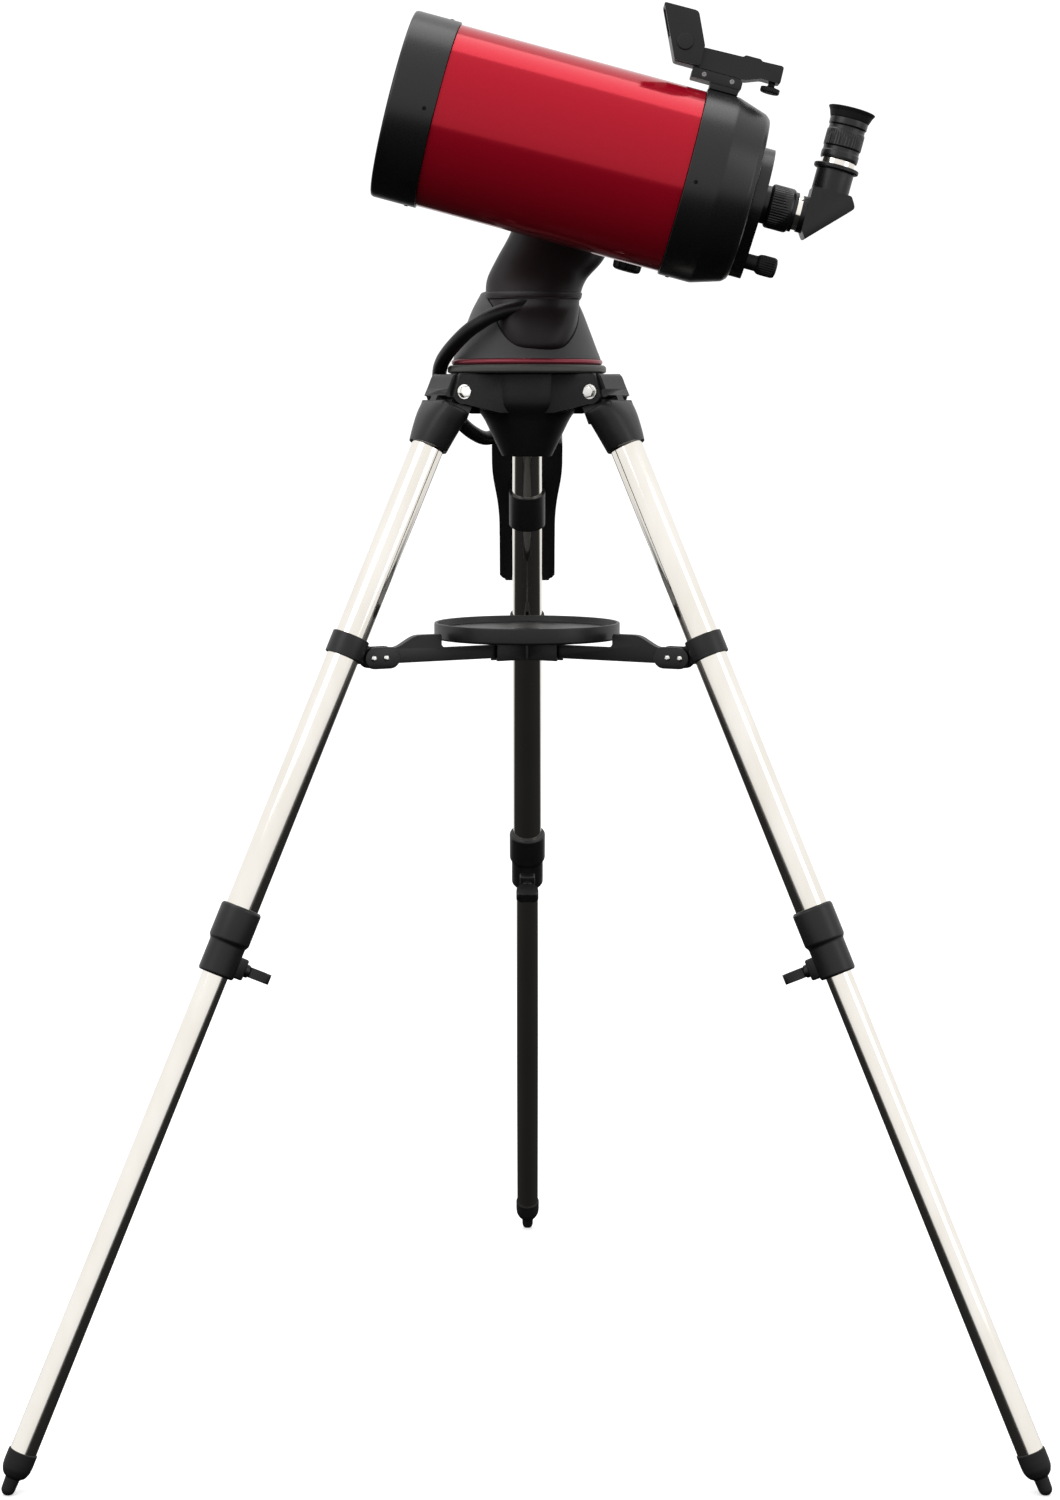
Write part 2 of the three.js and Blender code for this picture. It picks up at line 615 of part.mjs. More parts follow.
function clampCollar() {
  const top = -CLAMP_TOP;
  const step = top - TUBE_IN_CLAMP - 0.4;
  const bottom = top - CLAMP_LENGTH;
  const [wide, narrow] = [UPPER_TUBE_RADIUS + GAP, LOWER_TUBE_RADIUS + GAP];
  const sleeve = turnedRing([
    [wide, top], [18.5, top], [20, top - 1.5], [20, top - 34], [17.6, top - 37],
    [17.6, bottom + 1.5], [16.2, bottom], [narrow, bottom], [narrow, step], [wide, step],
  ], 20);
  const boss = box([-25, -8.5, bottom + 3], [-12, 8.5, bottom + 24]);
  const bore = cylinder(narrow, bottom - 1, step, 20);
  const screwHole = cylinder(3.9, -40, -5, 14).rotateY(Math.PI / 2).translate(0, 0, CLAMP_SCREW);
  return carved(joined(sleeve, boss), bore, screwHole);
}

// A thumb screw with a broad flat wing; its axis runs along X.
function legClampKnob() {
  const wing = new THREE.Shape();
  wing.moveTo(-30, -9);
  wing.lineTo(-30, 9);
  wing.absarc(-44, 4, 9, Math.PI / 2, Math.PI, false);
  wing.absarc(-44, -4, 9, Math.PI, (3 * Math.PI) / 2, false);
  const paddle = slab(wing, CLAMP_SCREW - 5, CLAMP_SCREW + 5, 5);
  const stem = cylinder(3.4, -31, -14, 12).rotateY(Math.PI / 2).translate(0, 0, CLAMP_SCREW);
  const collar = cylinder(6.5, -32, -25 - GAP, 16).rotateY(Math.PI / 2).translate(0, 0, CLAMP_SCREW);
  return joined(paddle, stem, collar);
}

function lowerTube() {
  const [outer, inner] = [LOWER_TUBE_RADIUS, LOWER_TUBE_RADIUS - TUBE_WALL];
  const [top, bottom] = [-470, FOOT_SOCKET];
  return turnedRing([[inner, bottom], [outer, bottom], [outer, top], [inner, top]], 20);
}

function foot() {
  const tip = -LEG_LENGTH;
  const arc = Array.from({ length: 5 }, (_, i) => {
    const angle = (i * Math.PI) / 8;
    return [FOOT_TIP_RADIUS * Math.sin(angle), tip + FOOT_TIP_RADIUS * (1 - Math.cos(angle))];
  });
  const cap = turned([
    ...arc, [7.5, tip + 18], [11, tip + 20], [14, tip + 27], [14, tip + 43],
    [LOWER_TUBE_RADIUS + GAP, tip + 43],
    [LOWER_TUBE_RADIUS + GAP, FOOT_SOCKET - GAP], [0, FOOT_SOCKET - GAP],
  ], 16);
  const floor = box([-600, -30, -HIP_HEIGHT - 30], [-400, 30, -HIP_HEIGHT]).translate(1000, 0, 0);
  return carved(cap, floor.rotateY(SPLAY));
}

function spreaderBand() {
  const [inner, outer] = [UPPER_TUBE_RADIUS + GAP, 18.5];
  const [bottom, top] = [-BAND_DISTANCE - 11, -BAND_DISTANCE + 11];
  const ring = turnedRing([[inner, bottom], [outer, bottom], [outer, top], [inner, top]], 20);
  const shape = new THREE.Shape();
  shape.moveTo(-15, -9);
  shape.lineTo(-15, 9);
  shape.lineTo(-BAND_LUG_REACH, 9);
  shape.absarc(-BAND_LUG_REACH, 0, 9, Math.PI / 2, (3 * Math.PI) / 2, false);
  const lug = plate(shape, 9, 10).translate(0, 0, -BAND_PIVOT);
  return carved(joined(ring, lug), cylinder(inner, bottom - 1, top + 1, 20));
}

// ---------------------------------------------------------------- spreader arms, hub and tray

// Where the arm's outer pivot is, in the upright plane of its leg: [radius, height].
const ARM_PIVOT = [
  HIP_RADIUS - BAND_LUG_REACH * Math.cos(SPLAY) + BAND_PIVOT * Math.sin(SPLAY),
  HIP_HEIGHT - BAND_LUG_REACH * Math.sin(SPLAY) - BAND_PIVOT * Math.cos(SPLAY),
];
const ARM_LENGTH = ARM_PIVOT[0] - ARM_INNER_RADIUS;
const TRAY_BOTTOM = ARM_PIVOT[1] + 12.5;

// A flat web on edge, with a fork at its outer end; X runs inwards from the outer pivot.
function spreaderArm() {
  const trayEdge = ARM_PIVOT[0] - TRAY_RADIUS - 6;
  const web = outline([
    [4, -6], [ARM_LENGTH, -6], [ARM_LENGTH, 7], [trayEdge, 7], [trayEdge, 20.5], [47, 20.5],
    [26, 9], [4, 9],
  ]);
  const end = 10.6; // radius of the fork's ends
  const rivetSpacing = 17;
  const halfSlot = 4.9;
  const cheek = new THREE.Shape();
  cheek.absarc(0, 0, end, Math.PI / 2, (3 * Math.PI) / 2, false);
  cheek.absarc(rivetSpacing, 0, end, -Math.PI / 2, Math.PI / 2, false);
  const fork = plate(cheek, 17, 8);
  const slot = box([-30, -halfSlot, -30], [end, halfSlot, 30]);
  const rivet = (x) => cylinder(3.2, -10.5, 10.5, 12).rotateX(Math.PI / 2).translate(x, 0, 0);
  const lugHole = cylinder(4, -halfSlot, halfSlot, 12).rotateX(Math.PI / 2);
  return carved(joined(plate(web, 8), fork, rivet(0), rivet(rivetSpacing)), slot, lugHole);
}

// A small stem under the tray, with a pair of cheeks on either side of each arm.
function spreaderHub() {
  const stem = cylinder(9, ARM_PIVOT[1] - 9, TRAY_BOTTOM - GAP, 20);
  const cheeks = Object.values(LEGS).flatMap((angle) => [-1, 1].map((side) => {
    const [low, high] = span(side, 4.7, 7.2);
    return box([4, low, ARM_PIVOT[1] - 9], [38, high, TRAY_BOTTOM - GAP]).rotateZ(angle);
  }));
  return joined(stem, ...cheeks);
}

function accessoryTray() {
  const top = TRAY_BOTTOM + TRAY_HEIGHT;
  return turned([
    [0, TRAY_BOTTOM], [TRAY_RADIUS - 1.5, TRAY_BOTTOM], [TRAY_RADIUS, TRAY_BOTTOM + 1.5],
    [TRAY_RADIUS, top - 1], [TRAY_RADIUS - 1, top], [TRAY_RADIUS - 3, top],
    [TRAY_RADIUS - 4, top - 7], [0, top - 7],
  ], 40);
}

// ---------------------------------------------------------------- hand controller, on the rear leg

const HANDSET_INNER = 25;
const HANDSET_OUTER = 49;
const HANDSET_TOP = -60;
const HANDSET_BOTTOM = -231;

function handset() {
  const outlinePoints = [
    [-37, HANDSET_TOP - 8], [-37, -102], [-29.5, -145], [-29.5, HANDSET_BOTTOM + 8], [-22, HANDSET_BOTTOM],
    [22, HANDSET_BOTTOM], [29.5, HANDSET_BOTTOM + 8], [29.5, -145], [37, -102], [37, HANDSET_TOP - 8],
    [29, HANDSET_TOP], [-29, HANDSET_TOP],
  ];
  return plate(outline(outlinePoints), HANDSET_OUTER - HANDSET_INNER)
    .translate(0, -(HANDSET_OUTER + HANDSET_INNER) / 2, 0).rotateZ(Math.PI / 2);
}

function keypad() {
  return box([HANDSET_OUTER + GAP, -23, HANDSET_BOTTOM + 16], [HANDSET_OUTER + 3, 23, -128]);
}

// A strap round the leg that carries a short open cradle for the handset.
function handsetHolder() {
  const [top, bottom] = [-112, -150];
  const inner = UPPER_TUBE_RADIUS + GAP;
  const strap = turnedRing([[inner, bottom], [19, bottom], [19, top], [inner, top]], 20);
  const back = box([14, -16, bottom], [HANDSET_INNER - 1, 16, top]);
  return carved(joined(strap, back), cylinder(inner, bottom - 1, top + 1, 20));
}

const CABLE_RADIUS = 7.2;

function controllerCable() {
  const path = new THREE.CatmullRomCurve3([
    [-30, -58.5, 1101], [-43, -59.5, 1096], [-58, -53, 1087], [-75.5, -39, 1073], [-85.6, -20, 1060],
    [-87.6, 0, 1045], [-86, 21, 1031], [-79, 45, 1013], [-67, 70, 995], [-54.5, 92, 986.5],
    [-41, 113, 985], [-25, 128, 994], [-13.5, 138, 996.5], [-12, 144.5, 987],
  ].map(([x, y, z]) => new THREE.Vector3(x, y, z)));
  const circle = new THREE.Shape().absarc(0, 0, CABLE_RADIUS, 0, 2 * Math.PI, false);
  const options = { steps: 28, curveSegments: 5, extrudePath: path, bevelEnabled: false };
  return new THREE.ExtrudeGeometry(circle, options);
}

// ---------------------------------------------------------------- assembly

const telescope = new THREE.Group();

piece("tripod_head", telescope, tripodHead(), BLACK_METAL);
piece("mount_bolt", telescope, mountBolt(), BLACK_PLASTIC);
piece("azimuth_base_plate", telescope, azimuthBasePlate(), GREY_PLASTIC);
piece("controller_cable", telescope, controllerCable(), RUBBER);

const covers = armCovers();
piece("base_shell", telescope, baseShell(), GREY_PLASTIC);
piece("trim_ring", telescope, trimRing(), RED_PAINT);
piece("azimuth_turntable", telescope, azimuthTurntable(), GREY_PLASTIC);
piece("arm_inner_cover", telescope, covers.inner, ARM_PLASTIC);
piece("arm_outer_cover", telescope, covers.outer, ARM_PLASTIC);
piece("azimuth_motor", telescope, azimuthMotor(), BLACK_METAL);
const azimuthPinion = piece("azimuth_pinion", telescope, gearPinion(), NYLON);
azimuthPinion.position.set(0, GEAR_CENTRES, FLANGE_TOP + 0.9);
azimuthPinion.rotation.z = Math.PI / 2;

const altitudePinionY = PIVOT.y + ALTITUDE_GEAR_Y - 0.2;
const altitudePinion = piece("altitude_pinion", telescope, gearPinion(), NYLON);
altitudePinion.position.set(PIVOT.x, altitudePinionY, PIVOT.z - GEAR_CENTRES);
altitudePinion.rotation.set(-Math.PI / 2, 0, Math.PI / 2, "XYZ");
const altitudeMotor = carved(cylinder(13, 9.6, 36), cylinder(MOTOR_SHAFT_HOLE, 9, 13, 12))
  .rotateX(-Math.PI / 2);
altitudeMotor.translate(PIVOT.x, altitudePinionY, PIVOT.z - GEAR_CENTRES);
piece("altitude_motor", telescope, altitudeMotor, BLACK_METAL);
piece("control_board", telescope, box([5, 18, 1140], [45, 19.8, 1188]), BOARD_GREEN);

const optics = new THREE.Group();
optics.position.copy(PIVOT);
optics.rotation.y = TILT;
telescope.add(optics);
const opticsPieces = [
  ["altitude_saddle", altitudeSaddle(), BLACK_METAL], ["clamp_knob", clampKnob(), BLACK_PLASTIC],
  ["dovetail_bar", dovetailBar(), BLACK_METAL], ["front_cell", frontCell(), BLACK_METAL],
  ["main_tube", mainTube(), RED_PAINT], ["rear_cell", rearCell(), BLACK_METAL],
  ["corrector_plate", correctorPlate(), GLASS], ["secondary_holder", secondaryHolder(), BLACK_PLASTIC],
  ["primary_mirror", primaryMirror(), MIRROR], ["focus_knob", focusKnob(), RUBBER],
  ["visual_back", visualBack(), BLACK_METAL], ["star_diagonal", starDiagonal(), BLACK_PLASTIC],
  ["eyepiece", eyepiece(), BLACK_METAL], ["finder_base", finderBase(), BLACK_PLASTIC],
  ["finder_body", finderBody(), BLACK_PLASTIC], ["finder_lens", finderLens(), GLASS],
  ["finder_knob", finderKnob(), BLACK_PLASTIC],
];
for (const [name, geometry, material] of opticsPieces) piece(name, optics, geometry, material);

for (const [side, azimuth] of Object.entries(LEGS)) {
  const hip = new THREE.Group();
  hip.rotation.z = azimuth;
  telescope.add(hip);
  const leg = new THREE.Group();
  leg.position.set(HIP_RADIUS, 0, HIP_HEIGHT);
  leg.rotation.y = -SPLAY;
  hip.add(leg);
  piece(`leg_bracket_${side}`, leg, legBracket(), BLACK_PLASTIC);
  piece(`upper_tube_${side}`, leg, upperTube(), STEEL);
  piece(`clamp_collar_${side}`, leg, clampCollar(), BLACK_PLASTIC);
  piece(`leg_knob_${side}`, leg, legClampKnob(), BLACK_PLASTIC);
  piece(`lower_tube_${side}`, leg, lowerTube(), STEEL);
  piece(`foot_${side}`, leg, foot(), RUBBER);
  piece(`spreader_band_${side}`, leg, spreaderBand(), BLACK_PLASTIC);
  const arm = piece(`spreader_arm_${side}`, hip, spreaderArm(), BLACK_PLASTIC);
  arm.position.set(ARM_PIVOT[0], 0, ARM_PIVOT[1]);
  arm.rotation.z = Math.PI;
  if (side === "rear") {
    piece("handset_holder", leg, handsetHolder(), BLACK_PLASTIC);
    piece("handset", leg, handset(), BLACK_PLASTIC);
    piece("keypad", leg, keypad(), RUBBER);
  }
}

piece("spreader_hub", telescope, spreaderHub(), BLACK_PLASTIC);
piece("accessory_tray", telescope, accessoryTray(), BLACK_PLASTIC);

// The footprint's middle and the floor become the origin.
const bounds = new THREE.Box3().setFromObject(telescope, true);
const middle = bounds.getCenter(new THREE.Vector3());
telescope.position.set(-middle.x, -middle.y, -bounds.min.z);

export default telescope;
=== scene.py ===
"""Looks for a short closed-tube telescope on a one-armed motorised mount and tripod.

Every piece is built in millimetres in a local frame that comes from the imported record's joints,
then baked into metres in the row frame.
"""

import json
import math

import bmesh
import bpy
from mathutils import Matrix, Vector


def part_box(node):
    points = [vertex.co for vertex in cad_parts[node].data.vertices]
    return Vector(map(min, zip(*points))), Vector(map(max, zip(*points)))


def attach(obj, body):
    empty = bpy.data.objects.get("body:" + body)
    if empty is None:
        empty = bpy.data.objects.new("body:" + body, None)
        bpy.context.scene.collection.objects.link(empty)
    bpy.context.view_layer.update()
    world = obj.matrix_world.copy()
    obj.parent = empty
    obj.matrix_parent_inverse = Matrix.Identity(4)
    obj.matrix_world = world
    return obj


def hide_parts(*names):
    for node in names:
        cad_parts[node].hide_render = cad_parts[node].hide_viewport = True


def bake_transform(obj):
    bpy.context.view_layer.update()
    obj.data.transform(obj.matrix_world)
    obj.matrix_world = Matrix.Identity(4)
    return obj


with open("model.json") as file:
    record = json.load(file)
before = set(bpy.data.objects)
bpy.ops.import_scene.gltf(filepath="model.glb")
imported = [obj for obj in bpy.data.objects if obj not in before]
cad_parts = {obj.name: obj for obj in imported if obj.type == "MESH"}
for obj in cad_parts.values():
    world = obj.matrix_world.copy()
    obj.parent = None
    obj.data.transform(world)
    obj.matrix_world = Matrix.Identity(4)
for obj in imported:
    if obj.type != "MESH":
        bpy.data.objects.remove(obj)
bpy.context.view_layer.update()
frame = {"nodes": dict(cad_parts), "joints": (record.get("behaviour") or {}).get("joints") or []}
JOINTS = {joint["name"]: joint for joint in frame["joints"]}

MM = 0.001
TAU = 2 * math.pi
SIDES = ("left", "right", "rear")

# ---------------- local frames


def local_frame(origin, x_axis, z_axis):
    """A matrix from millimetres in a local frame to metres in the row frame."""
    z = Vector(z_axis).normalized()
    x = (Vector(x_axis) - z * z.dot(Vector(x_axis))).normalized()
    rotation = Matrix((x, z.cross(x), z)).transposed().to_4x4()
    return Matrix.Translation(Vector(origin)) @ rotation @ Matrix.Scale(MM, 4)


AZIMUTH_PIVOT = Vector(JOINTS["azimuth_turn"]["pos_m"])
AXIS_ORIGIN = Vector((AZIMUTH_PIVOT.x, AZIMUTH_PIVOT.y, 0))
WORLD = local_frame(AXIS_ORIGIN, (1, 0, 0), (0, 0, 1))

ALTITUDE_PIVOT = Vector(JOINTS["altitude_tilt"]["pos_m"])
TUBE_AXIS = Vector(JOINTS["tube_slide"]["axis"])
TUBE_UP = Vector(JOINTS["eyepiece_slide"]["axis"])
PIVOT_STATION = 172  # the altitude axis crosses the tube's axis this far behind the front rim
OPTICS = local_frame(ALTITUDE_PIVOT, TUBE_AXIS, TUBE_UP)
STATION = OPTICS @ Matrix.Translation((-PIVOT_STATION, 0, 0))
ARM_HEAD = local_frame(
    (ALTITUDE_PIVOT.x, AXIS_ORIGIN.y, ALTITUDE_PIVOT.z), (1, 0, 0), (0, 0, 1)
)

LEG = {
    side: local_frame(
        JOINTS[f"leg_fold_{side}"]["pos_m"],
        JOINTS[f"leg_knob_turn_{side}"]["axis"],
        JOINTS[f"leg_length_{side}"]["axis"],
    )
    for side in SIDES
}


def outward(side):
    """The level direction from the centre axis towards a leg."""
    hip = Vector(JOINTS[f"leg_fold_{side}"]["pos_m"]) - AZIMUTH_PIVOT
    return Vector((hip.x, hip.y, 0)).normalized()


SPREADER = {
    side: local_frame(JOINTS[f"spreader_fold_{side}"]["pos_m"], -outward(side), (0, 0, 1))
    for side in SIDES
}
HIP_POINT = Vector(JOINTS["leg_fold_rear"]["pos_m"]) - AXIS_ORIGIN
HIP_RADIUS = HIP_POINT.xy.length / MM
HIP_HEIGHT = HIP_POINT.z / MM
ARM_POINT = Vector(JOINTS["spreader_fold_rear"]["pos_m"]) - AXIS_ORIGIN
ARM_PIVOT_RADIUS = ARM_POINT.xy.length / MM
ARM_PIVOT_HEIGHT = ARM_POINT.z / MM

# ---------------- mesh helpers

TO_X = Matrix.Rotation(math.pi / 2, 4, "Y")  # a shape made about Z, laid along +X
TO_Y = Matrix.Rotation(-math.pi / 2, 4, "X")  # a shape made about Z, laid along +Y
SIDE_ON = Matrix.Rotation(math.pi / 2, 4, "X")  # a shape drawn in X and Y, stood up in X and Z
# A shape drawn in X and Y and lifted along Z, turned to stand in Y and Z and run along +X.
END_ON = Matrix(((0, 0, 1, 0), (1, 0, 0, 0), (0, 1, 0, 0), (0, 0, 0, 1)))


def rounded(points, closed=True, steps=5):
    """Corners given as (x, y, cut) become smooth arcs that start cut away from the corner."""
    result = []
    count = len(points)
    for i, point in enumerate(points):
        corner = Vector(point[:2])
        cut = point[2] if len(point) > 2 else 0
        open_end = not closed and i in (0, count - 1)
        if cut == 0 or open_end:
            result.append(tuple(corner))
            continue
        before = Vector(points[i - 1][:2])
        after = Vector(points[(i + 1) % count][:2])
        start = corner + (before - corner).normalized() * min(cut, (before - corner).length * 0.49)
        end = corner + (after - corner).normalized() * min(cut, (after - corner).length * 0.49)
        for step in range(steps + 1):
            t = step / steps
            a = start.lerp(corner, t)
            b = corner.lerp(end, t)
            result.append(tuple(a.lerp(b, t)))
    return result


def lathe(profile, segments=96, closed=False, ribs=0, depth=0.0, ribbed=None):
    """A profile of (radius, height) turned about Z. Ribs cut the radius between two heights."""
    bm = bmesh.new()
    rings = []
    for radius, height in profile:
        if radius < 1e-6:
            rings.append([bm.verts.new((0, 0, height))])
            continue
        cut_here = depth if ribs and ribbed[0] <= height <= ribbed[1] else 0
        ring = []
        for i in range(segments):
            angle = TAU * i / segments
            wave = max(0.0, math.cos(ribs * angle)) if cut_here else 0
            r = radius - cut_here * wave
            ring.append(bm.verts.new((r * math.cos(angle), r * math.sin(angle), height)))
        rings.append(ring)
    pairs = list(zip(rings, rings[1:]))
    if closed:
        pairs.append((rings[-1], rings[0]))
    for low, high in pairs:
        for i in range(segments):
            j = (i + 1) % segments
            corners = [low[i % len(low)], low[j % len(low)], high[j % len(high)], high[i % len(high)]]
            unique = list(dict.fromkeys(corners))
            if len(unique) > 2:
                bm.faces.new(unique)
    return bm


def turned(points, segments=96, steps=5, **ribbing):
    """Corner points turned about Z: a ring, or a solid if they start and end on the axis."""
    ring = points[0][0] > 0
    return lathe(rounded(points, ring, steps), segments, ring, **ribbing)


def rod(radius, low, high, soft=0.6, segments=48):
    """A solid cylinder about Z with softened ends."""
    points = [(0, low), (radius, low, soft), (radius, high, soft), (0, high)]
    return turned(points, segments, steps=4)


def prism(outline, low, high, bevel=0.8, segments=3):
    """A closed outline lifted from low to high, with its rims bevelled."""
    bm = bmesh.new()
    bottom = [bm.verts.new((x, y, low)) for x, y in outline]
    top = [bm.verts.new((x, y, high)) for x, y in outline]
    count = len(outline)
    faces = [bm.faces.new(list(reversed(bottom))), bm.faces.new(top)]
    for i in range(count):
        j = (i + 1) % count
        bm.faces.new((bottom[i], bottom[j], top[j], top[i]))
    if bevel:
        rims = list({edge for face in faces for edge in face.edges})
        bmesh.ops.bevel(
            bm, geom=rims, offset=bevel, segments=segments, profile=0.5,
            affect="EDGES", clamp_overlap=True,
        )
    return bm


def sharp_box(low, high):
    bm = bmesh.new()
    bmesh.ops.create_cube(bm, size=1)
    size = Vector(high) - Vector(low)
    middle = (Vector(high) + Vector(low)) / 2
    bm.transform(Matrix.Translation(middle) @ Matrix.Diagonal((*size, 1)))
    return bm


def block(low, high, soft=1.0, segments=3):
    """A box from corner to corner with every edge rounded."""
    bm = sharp_box(low, high)
    bmesh.ops.bevel(
        bm, geom=list(bm.edges), offset=soft, segments=segments, profile=0.5,
        affect="EDGES", clamp_overlap=True,
    )
    return bm


def superellipse(x, y, z, a, b, squareness=2.6, count=96):
    power = 2 / squareness
    ring = []
    for i in range(count):
        angle = TAU * i / count
        c = math.cos(angle)
        s = math.sin(angle)
        ring.append((
            x + a * math.copysign(abs(c) ** power, c),
            y + b * math.copysign(abs(s) ** power, s),
            z,
        ))
    return ring


def loft(rings):
    """A closed skin over rings that have the same number of points."""
    bm = bmesh.new()
    loops = [[bm.verts.new(point) for point in ring] for ring in rings]
    count = len(loops[0])
    for low, high in zip(loops, loops[1:]):
        for i in range(count):
            j = (i + 1) % count
            bm.faces.new((low[i], low[j], high[j], high[i]))
    bm.faces.new(list(reversed(loops[0])))
    bm.faces.new(loops[-1])
    return bm


def hex_outline(radius, turn=0.0):
    angles = [TAU * i / 6 + turn for i in range(6)]
    return [(radius * math.cos(angle), radius * math.sin(angle)) for angle in angles]


def arc(x, y, radius, start, turn, steps):
    """Points along an arc round (x, y); the angles are in degrees."""
    angles = [math.radians(start + turn * i / steps) for i in range(steps + 1)]
    return [(x + radius * math.cos(a), y + radius * math.sin(a)) for a in angles]


def laid(bm, *matrices):
    """Applies the matrices to a mesh in reading order."""
    for matrix in matrices:
        bm.transform(matrix)
    return bm


def move(x, y, z):
    return Matrix.Translation((x, y, z))


def panel(y, z, half_width, half_height, corner, start, end, bevel=0.0):
    """A rounded rectangle centred on (y, z), run along X."""
    signs = ((-1, -1), (1, -1), (1, 1), (-1, 1))
    corners = [(y + a * half_width, z + b * half_height, corner) for a, b in signs]
    return laid(prism(rounded(corners), start, end, bevel=bevel), END_ON)


def mesh_object(name, bm, matrix):
    bmesh.ops.remove_doubles(bm, verts=bm.verts, dist=1e-4)
    bmesh.ops.recalc_face_normals(bm, faces=bm.faces)
    mesh = bpy.data.meshes.new(name)
    bm.to_mesh(mesh)
    bm.free()
    mesh.transform(matrix)
    obj = bpy.data.objects.new(name, mesh)
    bpy.context.scene.collection.objects.link(obj)
    return obj


def together(shapes):
    """Several loose shapes as one mesh, for small parts that repeat."""
    whole = bmesh.new()
    for shape in shapes:
        mesh = bpy.data.meshes.new("loose")
        shape.to_mesh(mesh)
        shape.free()
        whole.from_mesh(mesh)
        bpy.data.meshes.remove(mesh)
    return whole


def bake_modifiers(obj):
    graph = bpy.context.evaluated_depsgraph_get()
    mesh = bpy.data.meshes.new_from_object(obj.evaluated_get(graph))
    obj.modifiers.clear()
    obj.data = mesh
    return obj


def combine(obj, tool, operation):
    """Joins or cuts obj with tool, which is used up."""
    modifier = obj.modifiers.new("combine", "BOOLEAN")
    modifier.operation = operation
    modifier.solver = "EXACT"
    modifier.object = tool
    bake_modifiers(obj)
    bpy.data.objects.remove(tool)
    return obj


def smooth(obj, angle=32):
    for polygon in obj.data.polygons:
        polygon.use_smooth = True
    obj.data.set_sharp_from_angle(angle=math.radians(angle))
    return obj


def dress(obj, material, node=None, angle=32):
    """Gives a finished mesh its material, and hides the CAD node it stands for."""
    smooth(obj, angle)
    obj.data.materials.clear()
    obj.data.materials.append(material)
    if node:
        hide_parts(node)
    return obj


def add(name, shape, matrix, material, body, node=None, cuts=(), joins=(), angle=32):
    """Builds one visible piece on a body. A piece named as a CAD node stands for that node."""
    obj = mesh_object(name, shape, matrix)
    for number, extra in enumerate(joins):
        combine(obj, mesh_object(f"{name}_join_{number}", extra, matrix), "UNION")
    for number, extra in enumerate(cuts):
        combine(obj, mesh_object(f"{name}_cut_{number}", extra, matrix), "DIFFERENCE")
    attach(obj, body)
    return dress(obj, material, node or (name if name in frame["nodes"] else None), angle)


# ---------------- materials


def put(node, **values):
    """Sets a shader node's inputs. An underscore stands for the space in an input's name."""
    for name, value in values.items():
        node.inputs[name.replace("_", " ")].default_value = value


class Shader:
    """A small wrapper that adds and links shader nodes."""

    def __init__(self, name):
        self.material = bpy.data.materials.new(name)
        self.material.use_nodes = True
        self.tree = self.material.node_tree
        self.bsdf = self.tree.nodes["Principled BSDF"]
        self.coordinates = self.node("ShaderNodeTexCoord").outputs["Object"]

    def node(self, kind):
        return self.tree.nodes.new(kind)

    def link(self, source, target):
        self.tree.links.new(source, target)

    def noise(self, per_metre, detail=3.0, roughness=0.5, stretch=(1, 1, 1)):
        mapping = self.node("ShaderNodeMapping")
        put(mapping, Scale=stretch)
        self.link(self.coordinates, mapping.inputs["Vector"])
        noise = self.node("ShaderNodeTexNoise")
        put(noise, Scale=per_metre, Detail=detail, Roughness=roughness)
        self.link(mapping.outputs["Vector"], noise.inputs["Vector"])
        return noise.outputs["Fac"]

    def paint(self, tint, dark, light, wear, smoothest, roughest, **settings):
        """Colour drifting from dark to light, roughness between two values, and plain settings."""
        self.link(self.ramp(tint, dark, light), self.bsdf.inputs["Base Color"])
        self.link(self.spread(wear, smoothest, roughest), self.bsdf.inputs["Roughness"])
        put(self.bsdf, **settings)

    def ramp(self, source, low, high, start=0.35, end=0.65):
        ramp = self.node("ShaderNodeValToRGB")
        first, last = ramp.color_ramp.elements
        first.position = start
        last.position = end
        first.color = (*low, 1)
        last.color = (*high, 1)
        self.link(source, ramp.inputs["Fac"])
        return ramp.outputs["Color"]

    def spread(self, source, low, high):
        spread = self.node("ShaderNodeMapRange")
        put(spread, From_Min=0.3, From_Max=0.7, To_Min=low, To_Max=high)
        self.link(source, spread.inputs["Value"])
        return spread.outputs["Result"]

    def bump(self, source, distance):
        bump = self.node("ShaderNodeBump")
        put(bump, Distance=distance, Strength=1.0)
        self.link(source, bump.inputs["Height"])
        self.link(bump.outputs["Normal"], self.bsdf.inputs["Normal"])


def surface(
    name, light, dark, roughness, metallic=0.0, coat=0.0, coat_roughness=0.08, grain=900,
    grain_depth=0.00004, mottling=14, specular=0.5,
):
    """A surface with drifting colour and roughness and a fine grain in its relief."""
    shader = Shader(name)
    drift = shader.noise(mottling, detail=4)
    fine = shader.noise(grain, detail=2)
    shader.paint(
        drift, dark, light, fine, roughness * 0.85, roughness * 1.15, Metallic=metallic,
        Coat_Weight=coat, Coat_Roughness=coat_roughness, Specular_IOR_Level=specular,
    )
    shader.bump(fine, grain_depth)
    return shader.material


def red_enamel():
    """Clear-coated metallic red: dark red body, tiny brighter flakes."""
    shader = Shader("red_enamel")
    flakes = shader.noise(5200, detail=1, roughness=0.4)
    drift = shader.noise(9, detail=2)
    bsdf = shader.bsdf.inputs
    shader.link(
        shader.ramp(flakes, (0.40, 0.003, 0.015), (0.53, 0.007, 0.027), 0.3, 0.75),
        bsdf["Base Color"],
    )
    shader.link(shader.spread(drift, 0.11, 0.13), bsdf["Roughness"])
    put(shader.bsdf, Metallic=0.4, Specular_IOR_Level=0.2, Coat_Weight=0.06, Coat_Roughness=0.03)
    return shader.material


